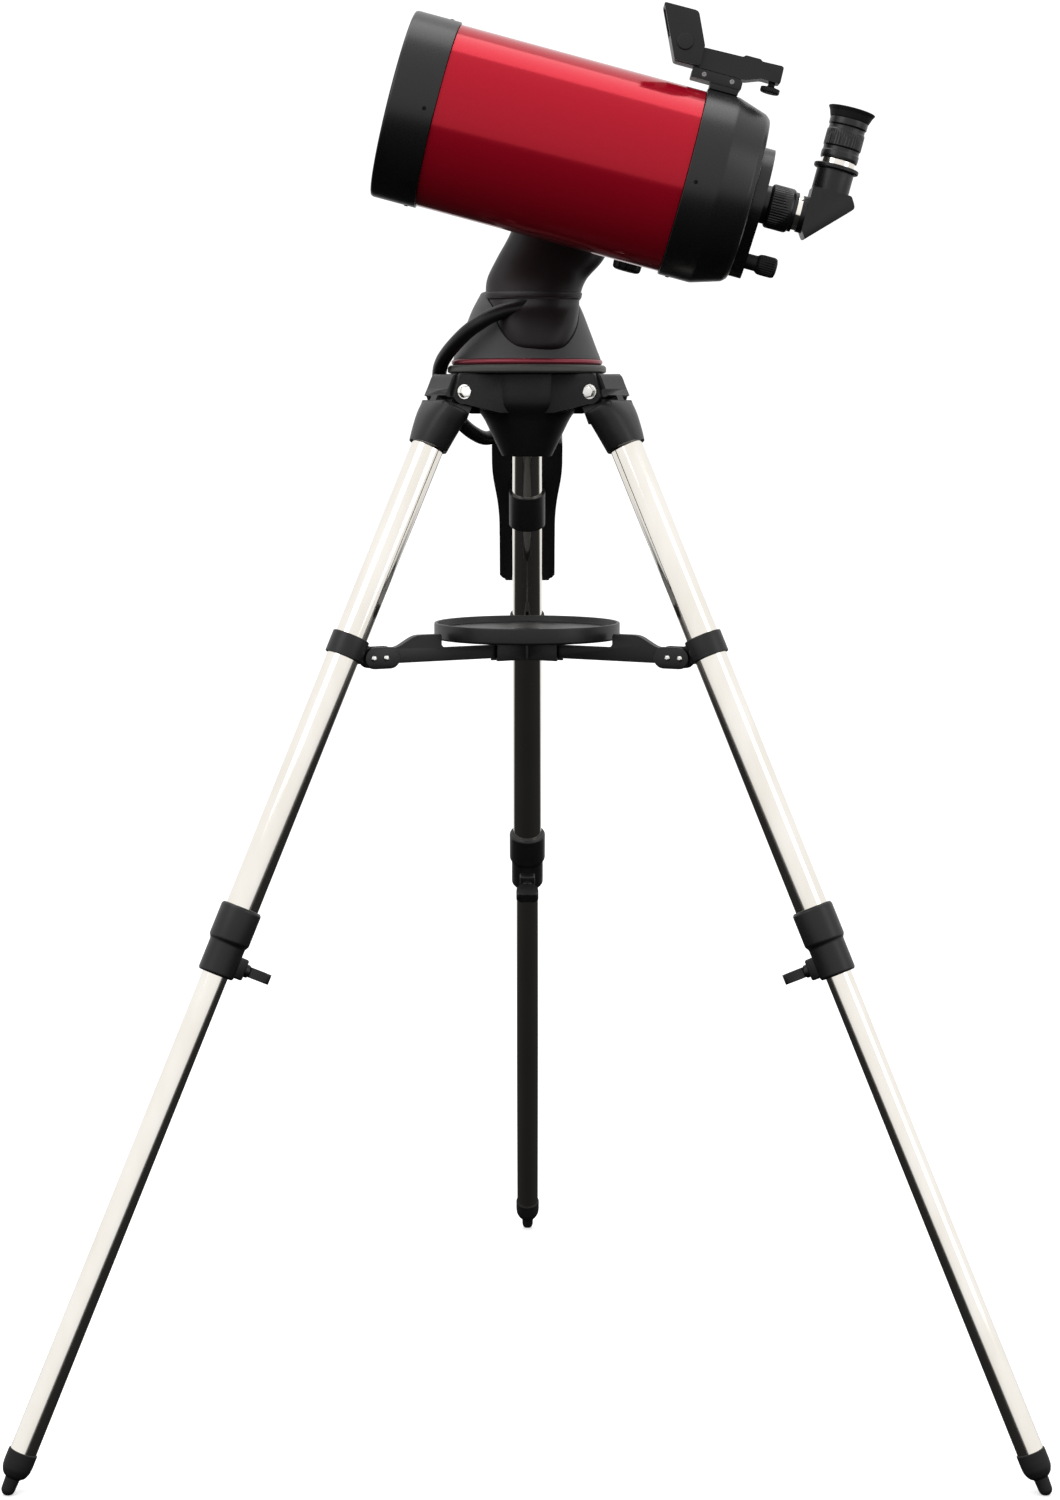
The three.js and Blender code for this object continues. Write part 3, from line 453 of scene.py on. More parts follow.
def polished_steel():
    """Polished stainless tube with faint length-wise polishing variation."""
    shader = Shader("polished_steel")
    drift = shader.noise(35, detail=3, stretch=(1, 1, 0.15))
    fine = shader.noise(1500, detail=2, stretch=(1, 1, 0.05))
    shader.paint(drift, (0.95, 0.905, 0.825), (1.0, 0.965, 0.90), fine, 0.06, 0.12, Metallic=1.0)
    shader.bump(fine, 0.000006)
    return shader.material


def coated_glass():
    shader = Shader("coated_glass")
    drift = shader.noise(20, detail=2)
    shader.paint(
        drift, (0.86, 0.93, 0.95), (0.93, 0.97, 0.96), drift, 0.01, 0.03, IOR=1.45,
        Transmission_Weight=1.0, Coat_Weight=0.2, Coat_Tint=(0.6, 0.9, 0.85, 1),
    )
    return shader.material


def mirror_coating():
    shader = Shader("mirror_coating")
    drift = shader.noise(30, detail=2)
    shader.paint(drift, (0.86, 0.87, 0.88), (0.9, 0.91, 0.92), drift, 0.015, 0.03, Metallic=1.0)
    return shader.material


RED_ENAMEL = red_enamel()
STEEL = polished_steel()
GLASS = coated_glass()
MIRROR = mirror_coating()
CELL_BLACK = surface(
    "cell_black", (0.0085, 0.0085, 0.009), (0.0065, 0.0065, 0.007), 0.3, grain=1400,
    grain_depth=0.000012, specular=0.45,
)
INNER_BLACK = surface("inner_black", (0.006, 0.006, 0.006), (0.004, 0.004, 0.004), 0.8, specular=0.2)
# The arm's black plastic is made browner and much darker than the shell: painted shade from the tube above
# it.
ARM_BLACK_PAINTED_SHADE = surface(
    "arm_black_painted_shade", (0.0105, 0.0065, 0.0073), (0.008, 0.005, 0.0058), 0.42, grain=1800,
    grain_depth=0.00004, specular=0.28,
)
SHELL_GREY = surface(
    "shell_grey", (0.066, 0.066, 0.067), (0.056, 0.056, 0.057), 0.46, grain=1800,
    grain_depth=0.00005, specular=0.35,
)
BASE_GREY = surface(
    "base_grey", (0.072, 0.073, 0.067), (0.062, 0.063, 0.058), 0.45, specular=0.35,
)
TRIM_RED = surface(
    "trim_red", (0.30, 0.045, 0.065), (0.25, 0.035, 0.055), 0.32, metallic=0.5, grain=2600,
)
MOULDED_BLACK = surface(
    "moulded_black", (0.0085, 0.0085, 0.0088), (0.006, 0.006, 0.0062), 0.38, grain=1200,
    grain_depth=0.00004, specular=0.4,
)
CAST_BLACK = surface(
    "cast_black", (0.0075, 0.0078, 0.008), (0.0055, 0.0058, 0.006), 0.45, grain=700,
    grain_depth=0.00008, specular=0.3,
)
RUBBER = surface(
    "black_rubber", (0.0075, 0.0075, 0.0075), (0.005, 0.005, 0.005), 0.6, grain=1500,
    grain_depth=0.00006, specular=0.3,
)
CABLE_JACKET = surface(
    "cable_jacket", (0.0065, 0.0062, 0.0062), (0.0045, 0.0043, 0.0043), 0.4, specular=0.3,
)
BRIGHT_BOLT = surface(
    "bright_bolt", (0.90, 0.89, 0.86), (0.82, 0.81, 0.78), 0.22, metallic=1.0, grain=2500,
    grain_depth=0.00001,
)
NYLON = surface("white_nylon", (0.72, 0.70, 0.64), (0.66, 0.64, 0.58), 0.45)
BOARD = surface("circuit_board", (0.02, 0.13, 0.05), (0.015, 0.10, 0.04), 0.4, coat=0.5)
KEY_GREY = surface("key_grey", (0.30, 0.30, 0.31), (0.25, 0.25, 0.26), 0.55)
DISPLAY = surface("display_window", (0.05, 0.01, 0.01), (0.035, 0.008, 0.008), 0.12, coat=1.0)

# ---------------- optical tube

FRONT_CELL_RADIUS = 86
TUBE_RADIUS = 84
REAR_CELL_RADIUS = 86.5
FRONT_CELL_END = 42.5
REAR_CELL_START = 275
REAR_FACE = 339.4
BACK_PLATE = 350
BAFFLE_RADIUS = 19
BARREL_RADIUS = 15.875
DIAGONAL_STATION = 409
FOCUSER_DROP = 54


def coaxial(points, segments=160, **options):
    """Corner points of (radius, station) turned about the tube's axis."""
    return laid(turned(points, segments, **options), TO_X)


def pan_head(radius, height):
    """A pan-head screw about Z with a socket in its crown; it stands on z = 0."""
    return turned([
        (0, height * 0.45), (radius * 0.42, height * 0.45, radius * 0.08),
        (radius * 0.5, height, radius * 0.08), (radius * 0.8, height, radius * 0.25),
        (radius, height * 0.3, radius * 0.2), (radius, -0.6), (0, -0.6),
    ], 32)


def skin(station, angle, radius):
    """A place on the tube's skin, Z outwards, at an angle from the -Y side towards the top."""
    direction = Vector((0, -math.cos(angle), math.sin(angle)))
    rotation = Vector((0, 0, 1)).rotation_difference(direction).to_matrix().to_4x4()
    return move(station, 0, 0) @ Matrix.Translation(direction * radius) @ rotation


def cell_screws(name, station, radius):
    """Four dark screws round a cell, one of them just below the middle of its near side."""
    angles = [math.radians(-3.3 + 90 * number) for number in range(4)]
    heads = [laid(pan_head(1.9, 0.7), skin(station, angle, radius)) for angle in angles]
    add(name, together(heads), STATION, INNER_BLACK, "tube")


def build_front_cell():
    profile = [
        (79, 3), (80.5, 0, 0.8), (85, 0, 1.2), (FRONT_CELL_RADIUS, 2.2, 1.2),
        (FRONT_CELL_RADIUS, FRONT_CELL_END, 0.6), (TUBE_RADIUS - 2.5, FRONT_CELL_END, 0.5),
        (79, FRONT_CELL_END - 8), (79, 14.5), (77.4, 14.2), (77.4, 9.8, 0.4), (79, 9.2),
    ]
    add("front_cell", coaxial(profile), STATION, CELL_BLACK, "tube")
    cell_screws("front_cell_screws", 33.5, FRONT_CELL_RADIUS)


def build_main_tube():
    start = FRONT_CELL_END + 0.3
    end = REAR_CELL_START - 0.3
    profile = [
        (TUBE_RADIUS - 1.8, start, 0.3), (TUBE_RADIUS, start, 0.5), (TUBE_RADIUS, end, 0.5),
        (TUBE_RADIUS - 1.8, end, 0.3),
    ]
    add("main_tube", coaxial(profile), STATION, RED_ENAMEL, "tube")


def teardrop(disc, boss, drop, steps=28):
    """Two circles, one below the other, and the straight lines that touch both."""
    lean = math.acos((disc - boss) / drop)
    points = []
    for i in range(2 * steps + 1):
        angle = -math.pi / 2 + lean + (TAU - 2 * lean) * i / (2 * steps)
        points.append((disc * math.cos(angle), disc * math.sin(angle)))
    for i in range(steps + 1):
        angle = 1.5 * math.pi - lean + 2 * lean * i / steps
        points.append((boss * math.cos(angle), boss * math.sin(angle) - drop))
    return points


def build_rear_cell():
    inner = 16.4
    profile = [
        (80.5, REAR_CELL_START, 0.4), (REAR_CELL_RADIUS, REAR_CELL_START, 0.9),
        (REAR_CELL_RADIUS, 305.5, 2), (78, 333.2, 1.6), (74, 337.6, 2), (56, REAR_FACE, 2),
        (inner, REAR_FACE), (inner, 122, 0.3), (BAFFLE_RADIUS, 122, 0.3), (BAFFLE_RADIUS, 328, 2),
        (75.5, 328, 2), (80, 306, 3),
    ]
    raised = prism(teardrop(49.5, 20, 51), REAR_FACE - 3, BACK_PLATE, bevel=2.2, segments=5)
    bore = laid(rod(inner, REAR_FACE - 10, BACK_PLATE + 5, soft=0.05), TO_X)
    laid(raised, END_ON)  # its X runs along Y and its Y runs up, as seen from behind
    add("rear_cell", coaxial(profile), STATION, CELL_BLACK, "tube", joins=[raised], cuts=[bore])
    cell_screws("rear_cell_screws", 284, REAR_CELL_RADIUS)


def build_front_optics():
    plate = [(27.6, 9.9, 0.3), (78.4, 9.9, 0.3), (78.4, 14, 0.3), (27.6, 14, 0.3)]
    add("corrector_plate", coaxial(plate), STATION, GLASS, "tube")
    holder = [
        (0, 4), (24, 4, 1), (26.2, 4.6, 1), (29.4, 5.2, 1), (30, 9.4, 0.5), (27.2, 9.4),
        (27.2, 15), (26.4, 33, 1.5), (0, 33),
    ]
    add("secondary_holder", coaxial(holder, 96), STATION, MOULDED_BLACK, "tube")
    heads = []
    for number in range(3):
        angle = TAU * number / 3 + math.pi / 2
        spot = move(4, 13 * math.cos(angle), 13 * math.sin(angle))
        heads.append(laid(pan_head(2.2, 0.8), spot @ Matrix.Rotation(-math.pi / 2, 4, "Y")))
    add("collimation_screws", together(heads), STATION, BRIGHT_BOLT, "tube")
    mirror = [
        (BAFFLE_RADIUS + 1, 302, 0.3), (75, 296.6, 0.4), (75, 312, 0.6), (BAFFLE_RADIUS + 1, 312, 0.6),
    ]
    add("primary_mirror", coaxial(mirror), STATION, MIRROR, "primary_mirror")


def build_focus_knob():
    profile = [
        (0, 326), (3.2, 326, 0.3), (3.2, BACK_PLATE + 0.3), (7.2, BACK_PLATE + 0.3, 0.5), (7.2, 360.5, 1),
        (9, 362.6, 0.8), (9.5, 366), (9.5, 370), (9.5, 374), (9.5, 376.5, 0.8), (8.6, 379, 1), (5, 380, 1),
        (0, 380),
    ]
    knob = coaxial(profile, 144, ribs=24, depth=0.7, ribbed=(364, 377))
    add("focus_knob", laid(knob, move(0, 0, -FOCUSER_DROP)), STATION, RUBBER, "focus_knob")


def build_visual_back():
    hole = BARREL_RADIUS + 0.25
    profile = [
        (hole, BACK_PLATE + 0.3, 0.2), (17.6, BACK_PLATE + 0.3, 0.4), (17.6, 356.4, 0.6), (19.6, 357.6, 0.5),
        (20.3, 359, 0.4), (20.3, 363), (20.3, 367.5), (20.3, 372), (20.3, 377, 0.4), (19.4, 378.8, 0.5),
        (18.2, 379.4, 0.4), (18.2, 382.6, 0.5), (hole, 382.8, 0.3),
    ]
    ring = coaxial(profile, 192, ribs=48, depth=0.55, ribbed=(359.3, 376.6))
    add("visual_back", ring, STATION, CELL_BLACK, "tube")


def build_diagonal():
    barrel = 17.4
    left = DIAGONAL_STATION - barrel
    right = DIAGONAL_STATION + barrel
    side = rounded([
        (left, 26, 1), (left, -15, 2), (left + 5.2, -22.2, 2.5), (434, 15.8, 3), (432, 20, 2),
        (right + 1.6, 26, 1),
    ])
    housing = laid(prism(side, -barrel, barrel, bevel=2.4, segments=4), SIDE_ON)
    here = move(DIAGONAL_STATION, 0, 0)
    collar = laid(rod(barrel, 20, 46, soft=0.5, segments=96), here)
    socket = laid(rod(BARREL_RADIUS + 0.25, 23, 60, soft=0.05, segments=96), here)
    mouth = coaxial([(0, 388), (13, 388), (13, left + 8), (0, left + 8)], 48)
    add("diagonal_housing", housing, STATION, MOULDED_BLACK, "diagonal",
        node="star_diagonal", joins=[collar], cuts=[socket, mouth])
    flange = [
        (BARREL_RADIUS + 0.3, 45.6, 0.2), (19.6, 45.6, 0.6), (21, 46.6, 0.6), (21, 48.2), (21, 49.6, 0.7),
        (19.8, 50.2, 0.4), (BARREL_RADIUS + 0.3, 50.2, 0.2),
    ]
    rim = turned(flange, 144, ribs=36, depth=0.4, ribbed=(47.9, 48.5))
    add("diagonal_flange", laid(rim, here), STATION, MOULDED_BLACK, "diagonal")
    nose = [
        (14.2, 363, 0.3), (BARREL_RADIUS, 363, 0.5), (BARREL_RADIUS, 368), (BARREL_RADIUS, 371.8, 0.3),
        (15.2, 372.6, 0.3), (15.2, 375.6, 0.3), (BARREL_RADIUS, 376.4, 0.3), (BARREL_RADIUS, left + 2),
        (14.2, left + 2),
    ]
    add("diagonal_nosepiece", coaxial(nose, 120), STATION, STEEL, "diagonal")
    shoulder = [
        (BARREL_RADIUS + 0.1, left - 4.6, 0.3), (16.9, left - 4.6, 0.6), (16.9, left + 1),
        (BARREL_RADIUS + 0.1, left + 1),
    ]
    add("diagonal_shoulder", coaxial(shoulder, 120), STATION, MOULDED_BLACK, "diagonal")


def build_eyepiece():
    here = STATION @ move(DIAGONAL_STATION, 0, 0)
    barrel = [
        (13.8, 24.5, 0.2), (BARREL_RADIUS, 24.5, 0.4), (BARREL_RADIUS, 55.2), (13.8, 55.2),
    ]
    add("eyepiece_barrel", turned(barrel, 120), here, STEEL, "eyepiece")
    body = [
        (13.9, 55.4), (17.2, 55.4, 0.6), (17.6, 58, 0.5), (17.6, 62, 0.4), (16.9, 63.2, 0.4),
        (16.9, 66.4, 0.4), (17.7, 67.6, 0.4), (17.7, 71), (17.7, 74.5), (17.7, 78), (17.7, 81.5, 0.4),
        (16.8, 83, 0.4), (16.8, 86, 0.4), (17.8, 87.2, 0.4), (17.9, 93, 0.5), (14.4, 95.4, 1), (13.9, 94),
    ]
    add("eyepiece_body", turned(body, 160, ribs=40, depth=0.45, ribbed=(68, 81)), here,
        CELL_BLACK, "eyepiece", node="eyepiece")
    cup = [
        (14.6, 94.4, 0.3), (18.1, 93.2, 0.3), (18.8, 95, 0.6), (20.2, 99, 0.6), (22.1, 102.2, 0.6),
        (20.8, 102.9, 0.5), (17.6, 98.4, 1), (15, 96, 0.6),
    ]
    add("eyecup", turned(cup, 128), here, RUBBER, "eyepiece")
    lens = [(0, 92.4), (10, 92, 0.5), (13.7, 91, 0.2), (13.7, 88), (0, 88)]
    add("eye_lens", turned(lens, 72), here, GLASS, "eyepiece")


# ---------------- finder


def finder_window(inset, start, end, bevel):
    """The hood's window opening, drawn in from its edge by inset and run along X."""
    half = 12.5 - inset
    low, high = 123 + inset, 146.5 - inset
    corners = [(-half, low, 4), (half, low, 4), (half, high, 5), (-half, high, 5)]
    return laid(prism(rounded(corners, steps=8), start, end, bevel=bevel), END_ON)


def build_finder():
    foot = block((276, -12, REAR_CELL_RADIUS - 0.2), (303, 12, 93.4), soft=0.8)
    shoe = laid(prism(rounded([
        (257, 92.2, 1), (304.5, 92.2, 1), (304.5, 99, 1.5), (301, 101.3, 1), (257, 101.3, 1.5),
    ]), -13.5, 13.5, bevel=0.8), SIDE_ON)
    add("finder_base", shoe, STATION, MOULDED_BLACK, "tube", joins=[foot])
    heads = [
        laid(pan_head(2.3, 0.9), SIDE_ON, move(x, -13.5, 97)) for x in (268.4, 294.8)
    ]
    add("finder_base_screws", together(heads), STATION, KEY_GREY, "tube")
    hood_side = rounded([
        (238.6, 103, 2), (216.2, 149.8, 2), (248.8, 150.1, 3), (262.4, 121.6, 1), (262.4, 103, 1),
    ])
    hood = laid(prism(hood_side, -17, 17, bevel=1.6, segments=4), SIDE_ON)
    bar_side = rounded([
        (239, 102.5, 1.5), (235.5, 111.5, 3), (262.7, 120.8, 2), (299, 121.8, 1), (301, 123.8, 1),
        (315, 123.9, 1), (317, 122.3, 1), (337.4, 123, 2), (338, 107, 2), (320, 107.2, 2),
        (306, 102, 2),
    ])
    bar = laid(prism(bar_side, -11, 11, bevel=1.4, segments=4), SIDE_ON)
    window = finder_window(0, 200, 280, bevel=0)
    add("finder_body", hood, STATION, MOULDED_BLACK, "tube", joins=[bar], cuts=[window])
    add("finder_lens", finder_window(0.2, 238, 240, bevel=0.3), STATION, GLASS, "tube")
    boss = laid(rod(7.5, 0, 2.4, soft=0.8), SIDE_ON)
    add("finder_hood_boss", boss, STATION @ move(243.8, -16.8, 120.5), MOULDED_BLACK, "tube")
    knob = turned([
        (0, 97.6), (8, 97.6, 0.5), (9, 98.6, 0.5), (9, 100.2), (9, 102.4, 0.5), (4, 103.4),
        (3.2, 104), (3.2, 108), (0, 108),
    ], 96, ribs=24, depth=0.5, ribbed=(99, 101.5))
    add("finder_knob", knob, STATION @ move(331, 0, 0), RUBBER, "finder_knob")


# ---------------- dovetail, saddle, clamp knob


def lengthways(outline, start, end, bevel=0.6):
    """An outline drawn in Y and Z, run along X."""
    return laid(prism(outline, start, end, bevel=bevel), END_ON)


def build_saddle():
    bar = rounded([(84.3, -17.2, 0.8), (96, -21.4, 0.8), (96, 21.4, 0.8), (84.3, 17.2, 0.8)])
    add("dovetail_bar", lengthways(bar, -86, 100), OPTICS, CAST_BLACK, "tube")
    jaw = rounded([
        (96.4, -22.3), (87.6, -22.3, 0.6), (87.6, -30, 1.5), (110, -30, 3), (110, 30, 3),
        (87.6, 30, 1.5), (87.6, 22.3, 0.6), (96.4, 22.3),
    ])
    drum = laid(rod(34, 106, 142.4, soft=1.5, segments=120), TO_Y)
    add("altitude_saddle", lengthways(jaw, -42, 92, bevel=1.5), OPTICS, CAST_BLACK, "saddle", joins=[drum])
    knob = turned([
        (0, -85.6), (11, -85.6, 1), (13.6, -84, 1.5), (14, -79), (14, -74), (14, -69), (13.6, -65.5, 1.5),
        (10, -62, 2), (6.5, -60, 2), (6.5, -30.4, 0.3), (0, -30.4),
    ], 144, ribs=12, depth=1.6, ribbed=(-84.5, -64))
    add("clamp_knob", knob, OPTICS @ move(75.8, 103, 0), RUBBER, "clamp_knob")


# ---------------- mount

HEAD_TOP = 1041.8
SHELL_BOTTOM = 1056.2
SHELL_OUTLINE = [
    (73, SHELL_BOTTOM, 0.6), (72.2, 1058.6, 1), (69.2, 1066, 3), (62, 1085, 8), (54.4, 1104.6, 8),
    (49, 1114.4, 4), (46.8, 1118.4, 1.2), (45, 1121.4, 1.4), (38, 1123.4, 2),
]
ARM_HEAD_RADIUS = 52
ARM_FRONT = -22
ARM_BACK = 33
ARM_SECTIONS = [  # height, middle X, half width X, front Y, back Y
    (1062, 8, 26, -64, 0), (1068, 8, 33, -70, 3), (1085, 8, 40, -68.5, 8),
    (1103, 8, 43, -62, 14), (1116, 6, 46, -50, 21), (1134, 9.5, 49, -38, 27.5),
    (1154, 22.7, 53, -31, 30.5), (1182, 36.5, 52, -24, ARM_BACK), (1210, 42, 51.5, ARM_FRONT, ARM_BACK),
    (ALTITUDE_PIVOT.z / MM, ALTITUDE_PIVOT.x / MM, ARM_HEAD_RADIUS, ARM_FRONT, ARM_BACK),
]
SEAM_GAP = 0.5  # between the arm's two covers
SEAM_FOOT = 1068  # the seam's plane leans back by SEAM_LEAN from the pivot down to this height
SEAM_LEAN = 36
SEAM_BACK = 6
VOXEL = 1.3


def smooth_between(rows, count):
    """Rows of numbers ordered by their first, resampled along a Catmull-Rom curve."""
    result = []
    spans = len(rows) - 1
    for step in range(count + 1):
        place = step / count * spans
        i = min(int(place), spans - 1)
        t = place - i
        a, b, c, d = (rows[max(0, min(spans, i + k))] for k in (-1, 0, 1, 2))
        result.append(tuple(
            0.5 * (2 * q + (r - p) * t + (2 * p - 5 * q + 4 * r - s) * t * t
                   + (3 * q - p - 3 * r + s) * t ** 3)
            for p, q, r, s in zip(a, b, c, d)
        ))
    return result


def arm_solid(name, grow=0.0):
    """The arm's body: a bowed neck that rises into a round head."""
    rings = []
    for z, x, a, front, back in smooth_between(ARM_SECTIONS, 54):
        rings.append(superellipse(x, (front + back) / 2, z, a + grow, (back - front) / 2 + grow))
    neck = mesh_object(name, loft(rings), WORLD)
    edge = ARM_HEAD_RADIUS + grow
    front, back = ARM_FRONT - grow, ARM_BACK + grow
    head = turned([(0, front), (edge, front, 8), (edge, back, 8), (0, back)], 128, steps=8)
    head_object = mesh_object(f"{name}_head", laid(head, TO_Y), ARM_HEAD)
    return combine(neck, head_object, "UNION")


def soften(obj, voxel, rounds):
    """Blends joined volumes into one continuous skin."""
    remesh = obj.modifiers.new("remesh", "REMESH")
    remesh.mode = "VOXEL"
    remesh.voxel_size = voxel
    relax = obj.modifiers.new("relax", "SMOOTH")
    relax.factor = 0.5
    relax.iterations = rounds
    return bake_modifiers(obj)


def seam_slab(front):
    """A big box on one side of the sloping plane where the arm's covers meet."""
    reach = 400
    lean = math.atan2(SEAM_LEAN, ALTITUDE_PIVOT.z / MM - SEAM_FOOT)
    near, far = (-reach, -SEAM_GAP / 2) if front else (SEAM_GAP / 2, reach)
    slab = sharp_box((-reach, near, -reach), (reach, far, reach))
    return laid(slab, Matrix.Rotation(-lean, 4, "X"), move(0, SEAM_BACK, ALTITUDE_PIVOT.z / MM))


def build_arm():
    voxel = VOXEL
    for front, name in ((True, "arm_inner_cover"), (False, "arm_outer_cover")):
        cover = soften(arm_solid(name), voxel * MM, 6)
        combine(cover, mesh_object("seam", seam_slab(not front), WORLD), "DIFFERENCE")
        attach(cover, "azimuth")
        dress(cover, ARM_BLACK_PAINTED_SHADE, name, angle=50)


def arm_section(height, grow):
    """The arm's outline at one height, let out by grow."""
    rows = smooth_between(ARM_SECTIONS, 400)
    z, x, a, front, back = min(rows, key=lambda row: abs(row[0] - height))
    return superellipse(x, (front + back) / 2, height, a + grow, (back - front) / 2 + grow)


def build_collar():
    """The shell's rim where the arm passes through it."""
    steps = ((1113.5, 0.0), (1114.5, 1.0), (1116, 1.5), (1119.4, 1.5), (1120.6, 1.0), (1121.2, 0.0))
    collar = loft([arm_section(height, grow) for height, grow in steps])
    add("shell_collar", collar, WORLD, ARM_BLACK_PAINTED_SHADE, "azimuth", angle=40)


def build_turning_base():
    inner = [(r - 3, z - 1.6) for r, z, *_ in reversed(SHELL_OUTLINE[1:])]
    profile = rounded([*SHELL_OUTLINE], closed=False, steps=6)
    dome = profile + [(0, 1123.6), (0, 1120.6)] + inner + [(SHELL_OUTLINE[0][0] - 3, SHELL_BOTTOM)]
    shell = mesh_object("base_shell", lathe(dome, 160, closed=True), WORLD)
    clearance = arm_solid("arm_clearance", 0.7)
    combine(shell, clearance, "DIFFERENCE")
    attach(shell, "azimuth")
    dress(shell, SHELL_GREY, "base_shell", angle=30)
    ring = [
        (67, 1050.9, 0.3), (73.6, 1050.9, 0.8), (74.8, 1052.4, 0.8), (74.8, 1054.4, 0.8),
        (73.6, 1055.8, 0.6), (67, 1055.8, 0.3),
    ]
    add("trim_ring", turned(ring, 160), WORLD, TRIM_RED, "azimuth")


def build_base_plate():
    profile = [
        (6.6, 1042.2), (75.4, 1042.2, 0.6), (78.5, 1043.6, 1.2), (78.5, 1048.4, 1.4), (76.4, 1050.4, 1),
        (6.6, 1050.4),
    ]
    add("azimuth_base_plate", turned(profile, 160), WORLD, BASE_GREY, "tripod")


# ---------------- tripod head

HEAD_BOTTOM = 990  # the mount bolt's seat
SKIRT_BOTTOM = 961
LUG_INNER = 22.2
LUG_OUTER = 28.7


def lug_outline():
    inner = [(36, HEAD_TOP), (36, HEAD_BOTTOM + 13), (48, HEAD_BOTTOM + 13)]
    eye = arc(HIP_RADIUS, HIP_HEIGHT, 12, -110, 85, 9)
    return inner + eye + [(HIP_RADIUS + 4.4, HEAD_TOP - 2), (HIP_RADIUS + 2.4, HEAD_TOP)]


def about_z(side):
    """The turn about the centre axis from +X to one leg."""
    direction = outward(side)
    return Matrix.Rotation(math.atan2(direction.y, direction.x), 4, "Z")


def build_tripod_head():
    bowl = [
        (6.6, HEAD_BOTTOM), (21, HEAD_BOTTOM, 1), (21, SKIRT_BOTTOM, 0.8), (24.5, SKIRT_BOTTOM, 1.2),
        (38.5, HEAD_BOTTOM, 10), (43.5, HEAD_BOTTOM + 10, 6), (51, HEAD_BOTTOM + 19, 6),
        (52.5, HEAD_BOTTOM + 28, 4), (52.5, HEAD_TOP, 1), (6.6, HEAD_TOP),
    ]
    lugs = []
    bolts = []
    for side in SIDES:
        for hand in (-1, 1):
            low, high = sorted((hand * LUG_INNER, hand * LUG_OUTER))
            lugs.append(laid(prism(lug_outline(), low, high, bevel=1.2), SIDE_ON, about_z(side)))
            pivot = move(HIP_RADIUS, hand * LUG_OUTER, HIP_HEIGHT) @ Matrix.Rotation(
                -hand * math.pi / 2, 4, "X")
            bolts.append(laid(prism(hex_outline(6.1, 0.2), 1.1, 5, bevel=0.7), pivot, about_z(side)))
            bolts.append(laid(rod(7.2, -0.2, 1.1, soft=0.3), pivot, about_z(side)))
    add("tripod_head", turned(bowl, 128), WORLD, CAST_BLACK, "tripod")
    add("hip_lugs", together(lugs), WORLD, CAST_BLACK, "tripod")
    add("hip_bolts", together(bolts), WORLD, BRIGHT_BOLT, "tripod")
    knob = turned([
        (0, -18), (12, -18, 1), (15, -16, 1.5), (15.5, -11), (15, -5.4, 1.5), (9, -4, 1),
        (9, -0.3, 0.4), (0, -0.3),
    ])
    laid(knob, move(0, 0, HEAD_BOTTOM))
    add("mount_bolt", knob, WORLD, MOULDED_BLACK, "mount_bolt")


# ---------------- legs

UPPER_RADIUS = 15.875
LOWER_RADIUS = 12.7
CLAMP_TOP = -540
CLAMP_BOTTOM = -608.5
KNOB_HEIGHT = CLAMP_BOTTOM + 13.5


def bracket_solid():
    tongue_side = rounded([
        (-18.5, -26), (-17, 13, 10), (-5, 16, 6), (7.5, 15.4, 2), (13, 13, 2), (14, 9.5, 3), (13.6, 1, 6),
        (14, -26),
    ])
    tongue = laid(prism(tongue_side, -LUG_INNER + 0.5, LUG_INNER - 0.5, bevel=1.4), SIDE_ON)
    rows = [  # height, middle X, half width X, half width Y, squareness
        (-58, 0, 17.3, 21, 2.3), (-57, 0, 17.8, 21.5, 2.3), (-46, 0, 18.5, 24.5, 2.4),
        (-34, -0.4, 19, 27.5, 2.5), (-26, -1, 18.6, 29.5, 2.7), (-18, -2.2, 17.8, 31, 3),
        (-16.2, -2.6, 16.6, 30, 3),
    ]
    rings = [superellipse(x, 0, z, a, b, n) for z, x, a, b, n in smooth_between(rows, 30)]
    return tongue, loft(rings)


